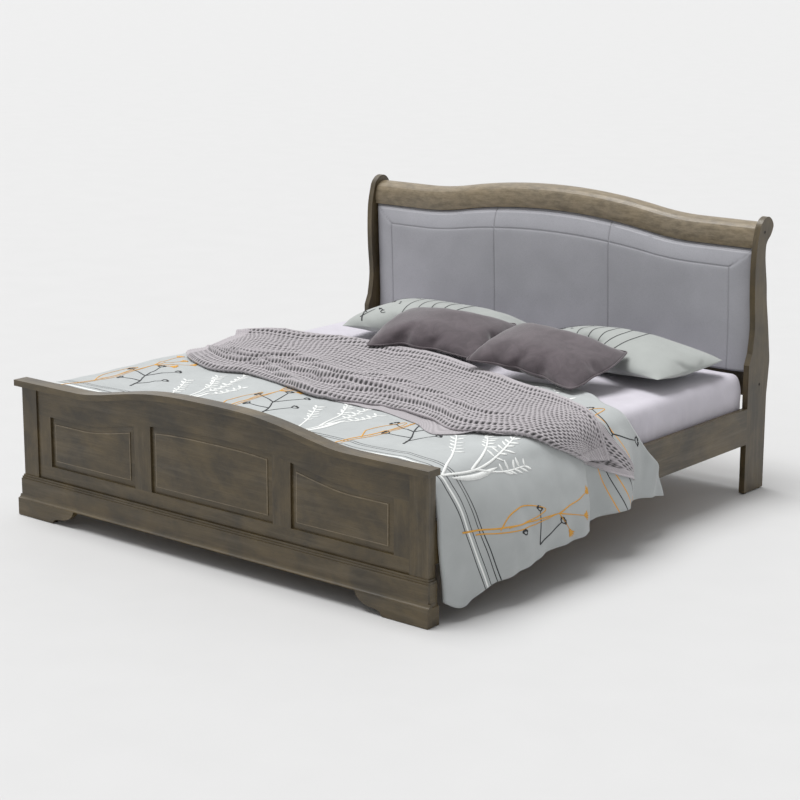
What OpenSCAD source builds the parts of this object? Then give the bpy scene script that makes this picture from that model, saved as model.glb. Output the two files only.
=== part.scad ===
// King-size sleigh bed: panelled footboard, scrolled and upholstered headboard, slatted base
// and its bedding. Millimetres, Z up, X across the bed, Y from the foot to the head.
// The origin is on the floor, under the centre of the overall box.

/* [Mattress] */
// Width of the mattress
mattress_w = 1930; // [1500:10:2000]
// Length of the mattress
mattress_l = 2032; // [1900:4:2200]
// Thickness of the mattress
mattress_t = 240; // [160:5:320]
// Gap from the mattress's side to the side rail
mattress_side_gap = 35; // [5:1:60]
// Gap from each end of the mattress to the footboard and headboard
mattress_end_gap = 5; // [2:1:30]

/* [Footboard] */
// Height of the footboard at its ends
foot_h = 551; // [440:1:700]
// Rise of the footboard's crown above its ends
foot_rise = 67; // [20:1:90]
// Distance from the centre at which the crown has died away
foot_reach = 690; // [560:1:750]
// Thickness of the footboard's cap
cap_t = 24; // [15:1:36]
// How far the cap stands in front of the posts
cap_front = 25; // [20:1:45]
// How far the cap stands out at each end
cap_side = 18; // [12:1:40]
// How far the cap passes the posts at the back
cap_back = 2; // [0:1:10]
// Width of a footboard post
post_w = 82; // [60:1:110]
// Thickness of a footboard post
post_t = 38; // [34:1:50]
// Thickness of the footboard's rails, stiles and muntins
frame_t = 26; // [22:1:30]
// Width of an outer stile
stile_w = 73; // [50:1:100]
// Width of a muntin between two panels
muntin_w = 87; // [60:1:110]
// Width of the centre panel's opening
center_open_w = 620; // [450:5:700]
// Depth of the top rail below the cap
top_rail_h = 106; // [80:1:120]
// Height of the lower edge of the panels above the floor
panel_bottom_z = 220; // [205:1:260]
// Length of a panel's tongue in its groove
tongue = 8; // [5:1:12]
// Thickness of a panel's tongue
tongue_t = 8; // [6:1:10]
// Width of the bevel round a raised panel
bevel_w = 26; // [15:1:45]

/* [Plinth] */
// Height of the bracket feet
bracket_h = 70; // [50:1:100]
// Length of a bracket foot along the front
bracket_l = 323; // [220:1:450]
// Height of the cove moulding on top of the feet
cove_h = 14; // [8:1:24]
// Height of the base board
base_h = 66; // [40:1:90]
// Thickness of the base board
base_t = 12; // [8:1:16]
// Height of the moulding on top of the base board
base_mould_h = 16; // [10:1:24]

/* [Headboard] */
// Height of the scrolled side boards
head_h = 1142; // [950:1:1400]
// Thickness of the scrolled side boards
leg_t = 25; // [20:1:40]
// Depth of a side board at the floor
leg_depth = 149; // [120:1:180]
// Height of the top of the ears, where the side rails end
ear_h = 588; // [560:1:700]
// Rise of the crest rail's crown above its ends
head_rise = 64; // [20:1:90]
// Distance from the centre at which the headboard's crown has died away
head_reach = 720; // [600:1:760]
// Height of the crest rail's section
crest_h = 100; // [75:1:120]
// Thickness of the upholstered pad at its middle
pad_t = 36; // [20:1:40]
// Thickness of the plywood behind the pad
pad_board_t = 9; // [6:1:12]

/* [Side rails] */
// Height of the side rail's lower edge above the floor
rail_z = 212; // [150:1:230]
// Height of a side rail
rail_h = 150; // [120:1:200]
// Thickness of a side rail
rail_t = 25; // [20:1:35]

/* [Slats] */
// Number of slats
slat_count = 13; // [9:1:16]
// Width of a slat
slat_w = 75; // [50:1:90]
// Thickness of a slat
slat_t = 18; // [12:1:25]
// Width and height of the ledger under the slats' ends
ledger = 26; // [20:1:35]

/* [Bedding] */
// Thickness of the duvet
duvet_t = 30; // [15:1:45]
// Distance from the duvet's foot end to its head end
duvet_l = 1380; // [1000:5:1700]
// Thickness of the knitted throw
throw_t = 20; // [10:1:30]
// Length, depth and thickness of a pillow
pillow_size = [800, 490, 140];
// Length, depth and thickness of a cushion
cushion_size = [500, 440, 120];
// Angle at which the cushions lean on the pillows
cushion_lean = 18; // [10:1:30]

/* [Hidden] */

// Clearances
fit = 1;          // between a tongue and its groove, all round
bolt_gap = 0.15;  // between a bolt and its hole, radially
soft_gap = 3;     // between bedding and what it lies on

// Across the bed
frame_w = mattress_w + 2 * (mattress_side_gap + rail_t);
half_w = frame_w / 2;
cap_w = frame_w + 2 * cap_side;
inner_half = half_w - rail_t;

// Along the bed, measured from the cap's front edge
y_post = cap_front;
y_post_back = y_post + post_t;
y_frame = y_post + (post_t - frame_t) / 2;
y_mattress = y_post_back + mattress_end_gap;
y_leg = y_mattress + mattress_l + mattress_end_gap;
leg_bulge = 14;
bed_l = y_leg + leg_depth + leg_bulge;
y_pad = y_leg + 82;       // front face of the plywood behind the pad, at the headboard rail

// Up from the floor
glide_t = 4;
bracket_floor_gap = 2;
cap_z = foot_h - cap_t;
cove_z = bracket_h;
base_z = cove_z + cove_h;
base_mould_z = base_z + base_h;
ledger_z = rail_z + 12;
slat_z = ledger_z + ledger;
mattress_z = slat_z + slat_t;
mattress_top = mattress_z + mattress_t;
crest_z = head_h - 127;
head_rail_h = 110;
head_rail_z = mattress_top - head_rail_h;
duvet_z = mattress_top + soft_gap;
duvet_top = duvet_z + duvet_t;
throw_z = duvet_top + 4;

// Footboard openings
x_post = half_w - post_w;
x_stile = x_post - stile_w;
x_center = center_open_w / 2;
x_muntin = x_center + muntin_w;
tongue_y = y_frame + (frame_t - tongue_t) / 2;
field_t = 8;

// Plinth
base_front = cap_front - base_t;
base_side = 9;
mould_set = [8, 4];       // set-back of the moulding's lower and upper step from the base board
bracket_t = cap_front;
x_bracket = cap_w / 2 - bracket_l;

// Steelwork
plate_t = 3;
bracket_leg = 62;
bracket_plate_h = 90;
plate_z = rail_z + 40;
bolt_r = 3;
bolt_head_r = 6.5;
bolt_head_t = 3.5;
bolt_l = 16;
screw_r = 2;
screw_head_r = 4;
side_bolt_r = 4;
side_bolt_head_r = 6;
side_bolt_l = 70;
side_bolt_sink = 4;

// Slats and centre support
slat_end_gap = 6;
slat_screw_l = slat_t + 24;
slat_len = 2 * (inner_half - slat_end_gap);
slat_pitch = (y_leg - y_post_back) / slat_count;
center_rail_w = 60;
center_rail_h = 50;
center_rail_z = slat_z - center_rail_h;
center_leg_w = 45;
leveller_h = 22;
hanger_t = 3;
hanger_l = 55;
stretcher_t = 25;
y_stretcher = y_leg + 72;

wood = [0.36, 0.34, 0.28];
wood_light = [0.50, 0.47, 0.39];
raw_wood = [0.78, 0.66, 0.48];
ply = [0.72, 0.60, 0.43];
steel = [0.62, 0.63, 0.65];
black = [0.10, 0.10, 0.10];
pad_grey = [0.52, 0.52, 0.55];
sheet_lilac = [0.80, 0.78, 0.82];
duvet_grey = [0.77, 0.79, 0.79];
throw_mauve = [0.62, 0.59, 0.61];
pillow_grey = [0.80, 0.82, 0.81];
velvet = [0.38, 0.36, 0.38];

// Height of the footboard's crown above its ends, at distance x from the centre
function foot_crown(x) =
    foot_rise * (1 + cos(180 * pow(min(1, abs(x) / foot_reach), 1.55))) / 2;

// The headboard's crown is an arc over the centre that runs into a reverse arc on each side
crest_angle = 2 * atan(head_rise / head_reach);
crest_r_sum = head_reach / sin(crest_angle);
crest_r_top = 0.7 * crest_r_sum;
crest_r_side = crest_r_sum - crest_r_top;
function head_crown(x) =
    abs(x) > head_reach ? 0 :
    abs(x) < crest_r_top * sin(crest_angle)
        ? head_rise - crest_r_top + sqrt(pow(crest_r_top, 2) - x * x)
        : crest_r_side - sqrt(pow(crest_r_side, 2) - pow(head_reach - abs(x), 2));

// A smooth curve through the points p, with n steps between neighbours
function spline_point(p, i, t) =
    let (a = p[max(i - 1, 0)], b = p[i], c = p[i + 1], d = p[min(i + 2, len(p) - 1)])
    (2 * b + (c - a) * t + (2 * a - 5 * b + 4 * c - d) * t * t
     + (3 * b - a - 3 * c + d) * t * t * t) / 2;
function spline(p, n) =
    concat([for (i = [0:len(p) - 2]) for (k = [0:n - 1]) spline_point(p, i, k / n)],
           [p[len(p) - 1]]);

// A line of points at height z plus the footboard's crown, from x0 to x1. All such lines
// turn at the same places, so that boards cut to them meet without a gap.
crown_step = 30;
function crown_line(x0, x1, z) =
    let (d = x1 > x0 ? 1 : -1, n = floor(abs(x1 - x0) / crown_step) + 1,
         k0 = d > 0 ? floor(x0 / crown_step) + 1 : ceil(x0 / crown_step) - 1)
    concat([[x0, z + foot_crown(x0)]],
           [for (i = [0:n]) let (x = (k0 + d * i) * crown_step)
                if (d * (x1 - x) > 0.01 && d * (x - x0) > 0.01) [x, z + foot_crown(x)]],
           [[x1, z + foot_crown(x1)]]);

// Puts a child that is drawn from the cap's front edge into the part's frame
module in_bed() translate([0, -bed_l / 2, 0]) children();

// A board seen from the foot: outline in X and Z, from y to y + t
module front_board(y, t)
    in_bed() translate([0, y + t, 0]) rotate([90, 0, 0]) linear_extrude(t) children();

// A board seen from the side: outline in Y and Z, from x to x + t
module side_board(x, t)
    in_bed() translate([x, 0, 0]) rotate([90, 0, 90]) linear_extrude(t) children();

module block(x0, x1, y0, y1, z0, z1)
    in_bed() translate([x0, y0, z0]) cube([x1 - x0, y1 - y0, z1 - z0]);

// The child and its mirror image in the bed's centre plane
module both_sides() {
    children();
    mirror([1, 0, 0]) children();
}

module on_side(side) if (side < 0) mirror([1, 0, 0]) children(); else children();

// A box with rounded upright edges, centred in X and Y
module round_box(size, r) {
    translate([-size[0] / 2 + r, -size[1] / 2, 0]) cube([size[0] - 2 * r, size[1], size[2]]);
    translate([-size[0] / 2, -size[1] / 2 + r, 0]) cube([size[0], size[1] - 2 * r, size[2]]);
    for (sx = [-1, 1], sy = [-1, 1])
        translate([sx * (size[0] / 2 - r), sy * (size[1] / 2 - r), 0])
            cylinder(r = r, h = size[2], $fn = 48);
}

// ---- Footboard ----

module footboard_cap() color(wood_light)
    front_board(0, y_post_back + cap_back)
        polygon(concat(crown_line(-cap_w / 2, cap_w / 2, cap_z),
                       crown_line(cap_w / 2, -cap_w / 2, foot_h)));

module footboard_post(side) color(wood) on_side(side) difference() {
    block(x_post, half_w, y_post, y_post_back, glide_t, cap_z);
    foot_plate_places() cylinder(r = bolt_r + bolt_gap, h = bolt_l, $fn = 32);
}

// Opening of a panel between x0 and x1, grown by g on every side
module opening(x0, x1, g)
    polygon(concat([[x0 - g, panel_bottom_z - g], [x1 + g, panel_bottom_z - g]],
                   crown_line(x1 + g, x0 - g, cap_z - top_rail_h + g)));

module all_openings(g) {
    opening(-x_stile, -x_muntin, g);
    opening(-x_center, x_center, g);
    opening(x_muntin, x_stile, g);
}

module panel_grooves()
    front_board(tongue_y - fit / 2, tongue_t + fit) all_openings(tongue + fit);

// Outline of the footboard's frame between x0 and x1, from z up to the cap
module frame_strip(x0, x1, z)
    polygon(concat([[x0, z], [x1, z]], crown_line(x1, x0, cap_z)));

module footboard_top_rail() color(wood) difference() {
    front_board(y_frame, frame_t) difference() {
        frame_strip(-x_post, x_post, panel_bottom_z);
        opening(-x_post, x_post, 0);
        translate([-half_w, 0]) square([half_w - x_post, foot_h]);
        translate([x_post, 0]) square([half_w - x_post, foot_h]);
    }
    panel_grooves();
}

module footboard_bottom_rail() color(wood) difference() {
    block(-x_post, x_post, y_frame, y_frame + frame_t, base_z + 10, panel_bottom_z);
    panel_grooves();
}

module upright(x0, x1) difference() {
    front_board(y_frame, frame_t) opening(x0, x1, 0);
    panel_grooves();
}

module footboard_stile(side) color(wood) on_side(side) upright(x_stile, x_post);

module footboard_muntin(side) color(wood) on_side(side) upright(x_center, x_muntin);

// A panel with its tongue all round and a raised field in front
module raised_panel(x0, x1) color(wood) {
    front_board(tongue_y, tongue_t) opening(x0, x1, tongue);
    front_board(tongue_y - field_t / 2, field_t / 2 + 1) opening(x0, x1, -bevel_w / 2);
    front_board(tongue_y - field_t, field_t) opening(x0, x1, -bevel_w);
}

module footboard_panel_left() raised_panel(-x_stile, -x_muntin);
module footboard_panel_center() raised_panel(-x_center, x_center);
module footboard_panel_right() raised_panel(x_muntin, x_stile);

// ---- Plinth ----

module base_board() color(wood)
    block(-half_w - base_side, half_w + base_side, base_front, cap_front,
          base_z, base_mould_z);

module base_return(side) color(wood) on_side(side)
    block(half_w, half_w + base_side, cap_front, y_post_back, base_z, base_mould_z);

// Moulding of two steps along the front, with a short return at each end
module base_moulding() color(wood_light) {
    for (step = [0, 1]) {
        z0 = base_mould_z + step * base_mould_h / 2;
        block(-half_w - mould_set[step], half_w + mould_set[step],
              cap_front - mould_set[step], cap_front, z0, z0 + base_mould_h / 2);
        both_sides() block(half_w, half_w + mould_set[step], cap_front, y_post_back,
                           z0, z0 + base_mould_h / 2);
    }
}

// Hollow quarter-round profile from the feet up to the base board; p is how far it projects
module cove_profile(p) difference() {
    square([p, cove_h]);
    translate([p, cove_h]) scale([1, cove_h / (p - base_t)])
        circle(r = p - base_t, $fn = 32);
}

module cove_moulding() color(wood_light) {
    in_bed() translate([-cap_w / 2, cap_front, cove_z]) rotate([90, 0, 90])
        linear_extrude(cap_w) mirror([1, 0]) cove_profile(cap_front);
    both_sides() in_bed() translate([half_w, y_post_back, cove_z]) rotate([90, 0, 0])
        linear_extrude(post_t) difference() {
            square([cap_side, cove_h]);
            translate([cap_side, cove_h]) scale([1, cove_h / (cap_side - base_side)])
                circle(r = cap_side - base_side, $fn = 32);
        }
}

// Inner end of a bracket foot: an ogee that steps in towards the top
bracket_ogee = [[123, 0], [112, 14], [94, 20], [54, 25], [26, 36], [8, 52], [0, 70]];

module bracket_foot(side) color(wood) on_side(side)
    front_board(0, bracket_t)
        polygon(concat([[cap_w / 2, cove_z], [cap_w / 2, bracket_floor_gap]],
                       [for (p = spline(bracket_ogee, 5))
                            [x_bracket + p[0],
                             bracket_floor_gap + p[1] / 70 * (cove_z - bracket_floor_gap)]]));

module bracket_return(side) color(wood) on_side(side)
    block(half_w, cap_w / 2, bracket_t, y_post_back, bracket_floor_gap, cove_z);

// ---- Headboard ----

// Height of a point of the scroll: 0 at the top of the ear, 1 at the top of the board
function scroll_z(f) = ear_h + f * (head_h - ear_h);

// Outline of a side board: [set-back from the leg's front, height share] up the front,
// over the scroll and, from the rear face, down the back
scroll_front = [[21, 0], [35, 0.18], [25, 0.40], [21, 0.58], [25, 0.76], [40, 0.885],
                [52, 0.945], [75, 0.985], [106, 1], [132, 0.98]];
scroll_back = [[0, 0.94], [-1, 0.91], [-17, 0.86], [-42, 0.82], [-52, 0.775], [-52, 0.69],
               [-46, 0.62], [-34, 0.50], [-27, 0.37], [-8, 0.185], [8, 0.0],
               [14, -0.08], [11, -0.16], [6, -0.25], [0, -0.34]];
ear_drop = 46;

module side_outline()
    translate([y_leg, 0])
        polygon(concat([[0, glide_t], [0, ear_h - ear_drop]],
                       spline(concat([for (p = scroll_front) [p[0], scroll_z(p[1])]],
                                     [for (p = scroll_back)
                                          [leg_depth + p[0], scroll_z(p[1])]]), 4),
                       [[leg_depth, glide_t]]));

// Places of the bolts that hold the crest and the headboard rail to the side boards
side_bolt_yz = [[y_leg + 82, crest_z + 66], [y_leg + 88, head_rail_z + head_rail_h / 2 - 2]];

module side_bolt_holes(r, depth)
    for (p = side_bolt_yz)
        in_bed() translate([half_w - depth, p[0], p[1]]) rotate([0, 90, 0])
            cylinder(r = r, h = depth + 1, $fn = 48);

module headboard_side(side) color(wood) on_side(side) difference() {
    side_board(half_w - leg_t, leg_t) side_outline();
    side_bolt_holes(side_bolt_r + bolt_gap, leg_t + 1);
    side_bolt_holes(side_bolt_head_r + bolt_gap, side_bolt_sink + 2);
    plate_bolt_holes(y_leg + 30);
}

// Section of the crest rail: set-back from the legs' front, and height above its underside
crest_section = [[53, 0], [50, 18], [50, 40], [54, 62], [62, 80], [76, 92], [98, 99],
                 [120, 101], [134, 92], [137, 76], [128, 56], [110, 36], [98, 18], [95, 0]];

// Places along the crest where its section is drawn
crest_x = let (half = half_w - leg_t)
    concat([-half], [for (k = [-20:20]) k * head_reach / 20], [half]);

module crest_rail() color(wood_light) {
    ring = [for (p = spline(crest_section, 2))
                [y_leg + p[0] - bed_l / 2, crest_z + p[1] * crest_h / 100]];
    n = len(ring);
    last = len(crest_x) - 1;
    points = [for (x = crest_x) for (p = ring) [x, p[0], p[1] + head_crown(x)]];
    sides = [for (k = [0:last - 1]) for (j = [0:n - 1]) let (m = (j + 1) % n)
                 [k * n + j, (k + 1) * n + j, (k + 1) * n + m, k * n + m]];
    difference() {
        polyhedron(points, concat([[for (j = [0:n - 1]) j]], sides,
                                  [[for (j = [n - 1:-1:0]) last * n + j]]));
        both_sides() side_bolt_holes(side_bolt_r + bolt_gap, side_bolt_l + leg_t);
    }
}

module headboard_rail() color(wood) difference() {
    block(-half_w + leg_t, half_w - leg_t, y_pad - 8, y_pad + 20,
          head_rail_z, head_rail_z + head_rail_h - 8);
    both_sides() side_bolt_holes(side_bolt_r + bolt_gap, side_bolt_l + leg_t);
}

module headboard_stretcher() color(wood)
    block(-half_w + leg_t, half_w - leg_t, y_stretcher, y_stretcher + stretcher_t,
          center_rail_z - 20, slat_z + 30);

// Set-back of the curved panel's front face from the legs' front, at a share of its height
panel_curve = [[82, 0], [84, 0.15], [80, 0.4], [72, 0.7], [69, 0.88], [70, 1]];

// Upright curved sheet between two set-backs from the panel curve
module curved_sheet(front, back, z0, z1) {
    pts = spline([for (p = panel_curve) [y_leg + p[0], z0 + p[1] * (z1 - z0)]], 5);
    polygon(concat([for (p = pts) [p[0] + front, p[1]]],
                   [for (k = [len(pts) - 1:-1:0]) [pts[k][0] + back, pts[k][1]]]));
}

// Elevation of the panels between the side boards, under the crest
module crest_opening(g, z0) {
    half = half_w - leg_t - g;
    polygon(concat([[-half, z0], [half, z0]],
                   [for (k = [0:48]) let (x = half - 2 * half * k / 48)
                        [x, crest_z - g + head_crown(x)]]));
}

panel_z = head_rail_z + head_rail_h - 8;
panel_top = crest_z + head_rise;

module curved_panel(front, back, g) intersection() {
    side_board(-half_w, 2 * half_w) curved_sheet(front, back, panel_z, panel_top);
    front_board(y_leg, leg_depth) crest_opening(g, panel_z);
}

module headboard_pad_board() color(ply) curved_panel(0, pad_board_t, 0.5);

module headboard_back_panel() color(wood) curved_panel(pad_board_t + 2, pad_board_t + 7, 0.5);

module headboard_pad() color(pad_grey) curved_panel(-pad_t, -0.5, 2);

module headboard_bolts() color(black) both_sides() for (p = side_bolt_yz)
    in_bed() translate([half_w - side_bolt_sink, p[0], p[1]]) rotate([0, -90, 0]) {
        cylinder(r = side_bolt_r, h = side_bolt_l, $fn = 32);
        translate([0, 0, -side_bolt_sink + 1])
            cylinder(r = side_bolt_head_r, h = side_bolt_sink, $fn = 32);
    }

// ---- Side rails ----

// Centres of the bolts on one leg of a bracket, along it and up it
plate_bolt_z = [plate_z + 20, plate_z + bracket_plate_h - 20];

// Bolt holes through a side rail's or side board's thickness, at distance y
module plate_bolt_holes(y)
    for (z = plate_bolt_z)
        in_bed() translate([inner_half - 1, y, z]) rotate([0, 90, 0])
            cylinder(r = bolt_r + bolt_gap, h = bolt_l, $fn = 32);

module side_rail(side) color(wood) on_side(side) difference() {
    block(inner_half, half_w, y_post_back, y_leg, rail_z, rail_z + rail_h);
    plate_bolt_holes(y_post_back + bracket_leg / 2);
    plate_bolt_holes(y_leg - 30);
}

ledger_start = y_post_back + bracket_leg + 10;
ledger_end = y_leg - bracket_leg - 10;

module ledger_cleat(side) color(raw_wood) on_side(side) difference() {
    block(inner_half - ledger, inner_half, ledger_start, ledger_end, ledger_z, slat_z);
    ledger_screw_places() cylinder(r = screw_r + bolt_gap, h = 2 * ledger, $fn = 24);
}

module ledger_screw_places()
    for (k = [0:5])
        in_bed() translate([inner_half - ledger - 1,
                            ledger_start + 60 + k * (ledger_end - ledger_start - 120) / 5,
                            ledger_z + ledger / 2])
            rotate([0, 90, 0]) children();

module ledger_screws() color(steel) both_sides() ledger_screw_places() {
    translate([0, 0, 1]) cylinder(r = screw_r, h = ledger, $fn = 24);
    translate([0, 0, -1.5]) cylinder(r = screw_head_r, h = 2.5, $fn = 24);
}

// Steel plate with two bolt holes, lying on the inner face of a rail from y0 to y1
module side_plate(y0, y1, bolts) difference() {
    block(inner_half - plate_t, inner_half, y0, y1, plate_z, plate_z + bracket_plate_h);
    for (y = bolts, z = plate_bolt_z)
        in_bed() translate([inner_half - plate_t - 1, y, z]) rotate([0, 90, 0])
            cylinder(r = bolt_r + bolt_gap, h = plate_t + 2, $fn = 32);
}

module foot_plate_places()
    for (z = plate_bolt_z)
        in_bed() translate([inner_half - 36, y_post_back, z]) rotate([90, 0, 0]) children();

module rail_brackets() color(steel) both_sides() {
    side_plate(y_post_back, y_post_back + bracket_leg, [y_post_back + bracket_leg / 2]);
    difference() {
        block(inner_half - bracket_leg, inner_half - plate_t + 0.01,
              y_post_back, y_post_back + plate_t, plate_z, plate_z + bracket_plate_h);
        foot_plate_places() translate([0, 0, -plate_t - 1])
            cylinder(r = bolt_r + bolt_gap, h = plate_t + 2, $fn = 32);
    }
    side_plate(y_leg - bracket_leg, y_leg + bracket_leg, [y_leg - 30, y_leg + 30]);
}

module plate_bolt() {
    cylinder(r = bolt_r, h = bolt_l - 1, $fn = 32);
    translate([0, 0, -bolt_head_t]) cylinder(r = bolt_head_r, h = bolt_head_t, $fn = 32);
}

module bracket_bolts() color(steel) both_sides() {
    for (y = [y_post_back + bracket_leg / 2, y_leg - 30, y_leg + 30], z = plate_bolt_z)
        in_bed() translate([inner_half - plate_t, y, z]) rotate([0, 90, 0]) plate_bolt();
    foot_plate_places() translate([0, 0, -plate_t]) plate_bolt();
}

// ---- Slats and centre support ----

module center_rail() color(raw_wood) difference() {
    block(-center_rail_w / 2, center_rail_w / 2, y_frame + frame_t + hanger_t,
          y_stretcher - hanger_t, center_rail_z, slat_z);
    slat_screw_places() slat_screw_hole();
}

// U-shaped steel hanger: a back plate, a floor and two cheeks
module hanger(y_back, dir) {
    r = center_rail_w / 2 + 0.5;
    y1 = y_back + dir * hanger_t;
    y2 = y_back + dir * hanger_l;
    block(-r - hanger_t, r + hanger_t, min(y_back, y1), max(y_back, y1),
          center_rail_z - hanger_t, slat_z);
    block(-r - hanger_t, r + hanger_t, min(y1, y2), max(y1, y2),
          center_rail_z - hanger_t, center_rail_z);
    both_sides() block(r, r + hanger_t, min(y1, y2), max(y1, y2), center_rail_z, slat_z);
}

module center_rail_hangers() color(steel) {
    hanger(y_frame + frame_t, 1);
    hanger(y_stretcher, -1);
}

function center_leg_y(i) = y_post_back + (i + 1) * (y_stretcher - y_post_back) / 4;

module center_leg(i) color(wood) difference() {
    block(-center_leg_w / 2, center_leg_w / 2, center_leg_y(i) - center_leg_w / 2,
          center_leg_y(i) + center_leg_w / 2, leveller_h, center_rail_z);
    in_bed() translate([0, center_leg_y(i), leveller_h - 1])
        cylinder(r = 4 + bolt_gap, h = 32, $fn = 32);
}

module leg_levellers() color(black) for (i = [0:2])
    in_bed() translate([0, center_leg_y(i), 0]) {
        cylinder(r = 18, h = 8, $fn = 48);
        translate([0, 0, 8]) cylinder(r = 4, h = leveller_h + 20, $fn = 32);
        translate([0, 0, 8]) cylinder(r = 7, h = 6, $fn = 6);
    }

module foot_glides() color(black) both_sides() {
    for (y = [y_post + post_t / 2, y_leg + 20, y_leg + leg_depth - 20])
        in_bed() translate([y < y_leg ? x_post + post_w / 2 : half_w - leg_t / 2, y, 0])
            cylinder(r = 10, h = glide_t, $fn = 48);
}

function slat_y(i) = y_post_back + (i + 0.5) * slat_pitch;

module slats() color(raw_wood) difference() {
    for (i = [0:slat_count - 1])
        block(-slat_len / 2, slat_len / 2, slat_y(i) - slat_w / 2, slat_y(i) + slat_w / 2,
              slat_z, mattress_z);
    slat_screw_places() slat_screw_hole();
}

module slat_screw_hole()
    translate([0, 0, -slat_screw_l - 1]) cylinder(r = screw_r + bolt_gap,
                                                  h = slat_screw_l + 2, $fn = 24);

module slat_screw_places()
    for (i = [0:slat_count - 1])
        in_bed() translate([0, slat_y(i), mattress_z]) children();

module slat_screws() color(steel) slat_screw_places()
    translate([0, 0, -slat_screw_l]) cylinder(r = screw_r, h = slat_screw_l - 0.5, $fn = 24);

// ---- Bedding ----

module mattress() color(sheet_lilac)
    in_bed() translate([0, y_mattress + mattress_l / 2, mattress_z])
        round_box([mattress_w, mattress_l, mattress_t - 0.5], 60);

// Right half of the line that the duvet's underside follows, from the centre to the hem
function drape(g) = [[0, duvet_z + g], [mattress_w / 2 + 1, duvet_z + g],
                     [mattress_w / 2 + 18 + 0.8 * g, duvet_z - 12 + 0.7 * g],
                     [half_w + 6 + g, rail_z + rail_h + 10 + 0.3 * g],
                     [half_w + 10 + g, rail_z + 30], [half_w + 40 + g, 60]];

// Height of the duvet's hem above the floor along the bed
hem_line = [[0, 75], [170, 112], [400, 150], [780, 175], [1000, 186], [1200, 176], [1380, 142]];

module duvet() color(duvet_grey) intersection() {
    front_board(y_mattress, duvet_l)
        polygon(concat([for (p = drape(duvet_t)) p],
                       [for (k = [5:-1:0]) drape(0)[k]],
                       [for (p = drape(0)) [-p[0], p[1]]],
                       [for (k = [5:-1:0]) [-drape(duvet_t)[k][0], drape(duvet_t)[k][1]]]));
    side_board(-half_w - 100, 2 * half_w + 200)
        polygon(concat([for (p = hem_line) [y_mattress + p[0] * duvet_l / 1380, p[1]]],
                       [[y_mattress + duvet_l, duvet_top + 10], [y_mattress, duvet_top + 10]]));
}

// Plan of the throw, measured from the bed's right edge and the mattress's foot
throw_plan = [[-1975, 690], [-1500, 580], [-925, 500], [-500, 480], [-260, 370], [30, 560],
              [90, 800], [90, 1140], [-25, 1030], [-190, 1130], [-350, 1190], [-730, 1280],
              [-1200, 1290], [-1900, 1110]];

// Height of the end of the throw that hangs over the side
throw_hem = 270;

// Right half of the line that a throw lying g above the duvet's underside follows
function throw_line(g) = concat([for (k = [0:3]) drape(g)[k]], [[half_w + 12 + g, throw_hem]]);

module knit_throw() color(throw_mauve) intersection() {
    front_board(y_mattress, duvet_l) polygon(concat(
        throw_line(duvet_t + 4 + throw_t),
        [for (k = [4:-1:0]) throw_line(duvet_t + 4)[k]],
        [[-half_w, throw_z], [-half_w, throw_z + throw_t]]));
    in_bed() linear_extrude(throw_z + 2 * throw_t)
        polygon([for (p = throw_plan) [half_w + p[0], y_mattress + p[1]]]);
}

module pillow(x, y, turn) color(pillow_grey)
    in_bed() translate([x, y, mattress_top + soft_gap]) rotate([0, 0, turn])
        round_box(pillow_size, 70);

module cushion(x, y, turn) color(velvet)
    in_bed() translate([x, y, throw_z + throw_t + 4]) rotate([0, 0, turn])
        rotate([cushion_lean, 0, 0]) translate([0, cushion_size[1] / 2, 0])
            round_box(cushion_size, 40);

pillow_y = y_leg - 315;
cushion_y = y_leg - 855;

footboard_cap();
footboard_post(-1);  // footboard_post_left
footboard_post(1);  // footboard_post_right
footboard_top_rail();
footboard_bottom_rail();
footboard_stile(-1);  // footboard_stile_left
footboard_stile(1);  // footboard_stile_right
footboard_muntin(-1);  // footboard_muntin_left
footboard_muntin(1);  // footboard_muntin_right
footboard_panel_left();
footboard_panel_center();
footboard_panel_right();
base_board();
base_return(-1);  // base_return_left
base_return(1);  // base_return_right
base_moulding();
cove_moulding();
bracket_foot(-1);  // bracket_foot_left
bracket_foot(1);  // bracket_foot_right
bracket_return(-1);  // bracket_return_left
bracket_return(1);  // bracket_return_right
headboard_side(-1);  // headboard_side_left
headboard_side(1);  // headboard_side_right
crest_rail();
headboard_rail();
headboard_stretcher();
headboard_back_panel();
headboard_pad_board();
headboard_pad();
headboard_bolts();
side_rail(-1);  // side_rail_left
side_rail(1);  // side_rail_right
ledger_cleat(-1);  // ledger_left
ledger_cleat(1);  // ledger_right
ledger_screws();
rail_brackets();
bracket_bolts();
center_rail();
center_rail_hangers();
center_leg(0);  // center_leg_foot
center_leg(1);  // center_leg_middle
center_leg(2);  // center_leg_head
leg_levellers();
foot_glides();
slats();
slat_screws();
mattress();
duvet();
knit_throw();
pillow(-330, pillow_y, 2);  // pillow_left
pillow(570, pillow_y, -3);  // pillow_right
cushion(0, cushion_y, 10);  // cushion_left
cushion(535, cushion_y, 2);  // cushion_right
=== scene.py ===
"""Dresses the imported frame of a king-size sleigh bed: stained wood, an upholstered headboard,
a mattress in its fitted sheet, a printed duvet, a knitted throw, pillows and cushions.
Lengths are metres in the part's own frame: X across the bed, Y from foot to head, Z up."""

import math

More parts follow.
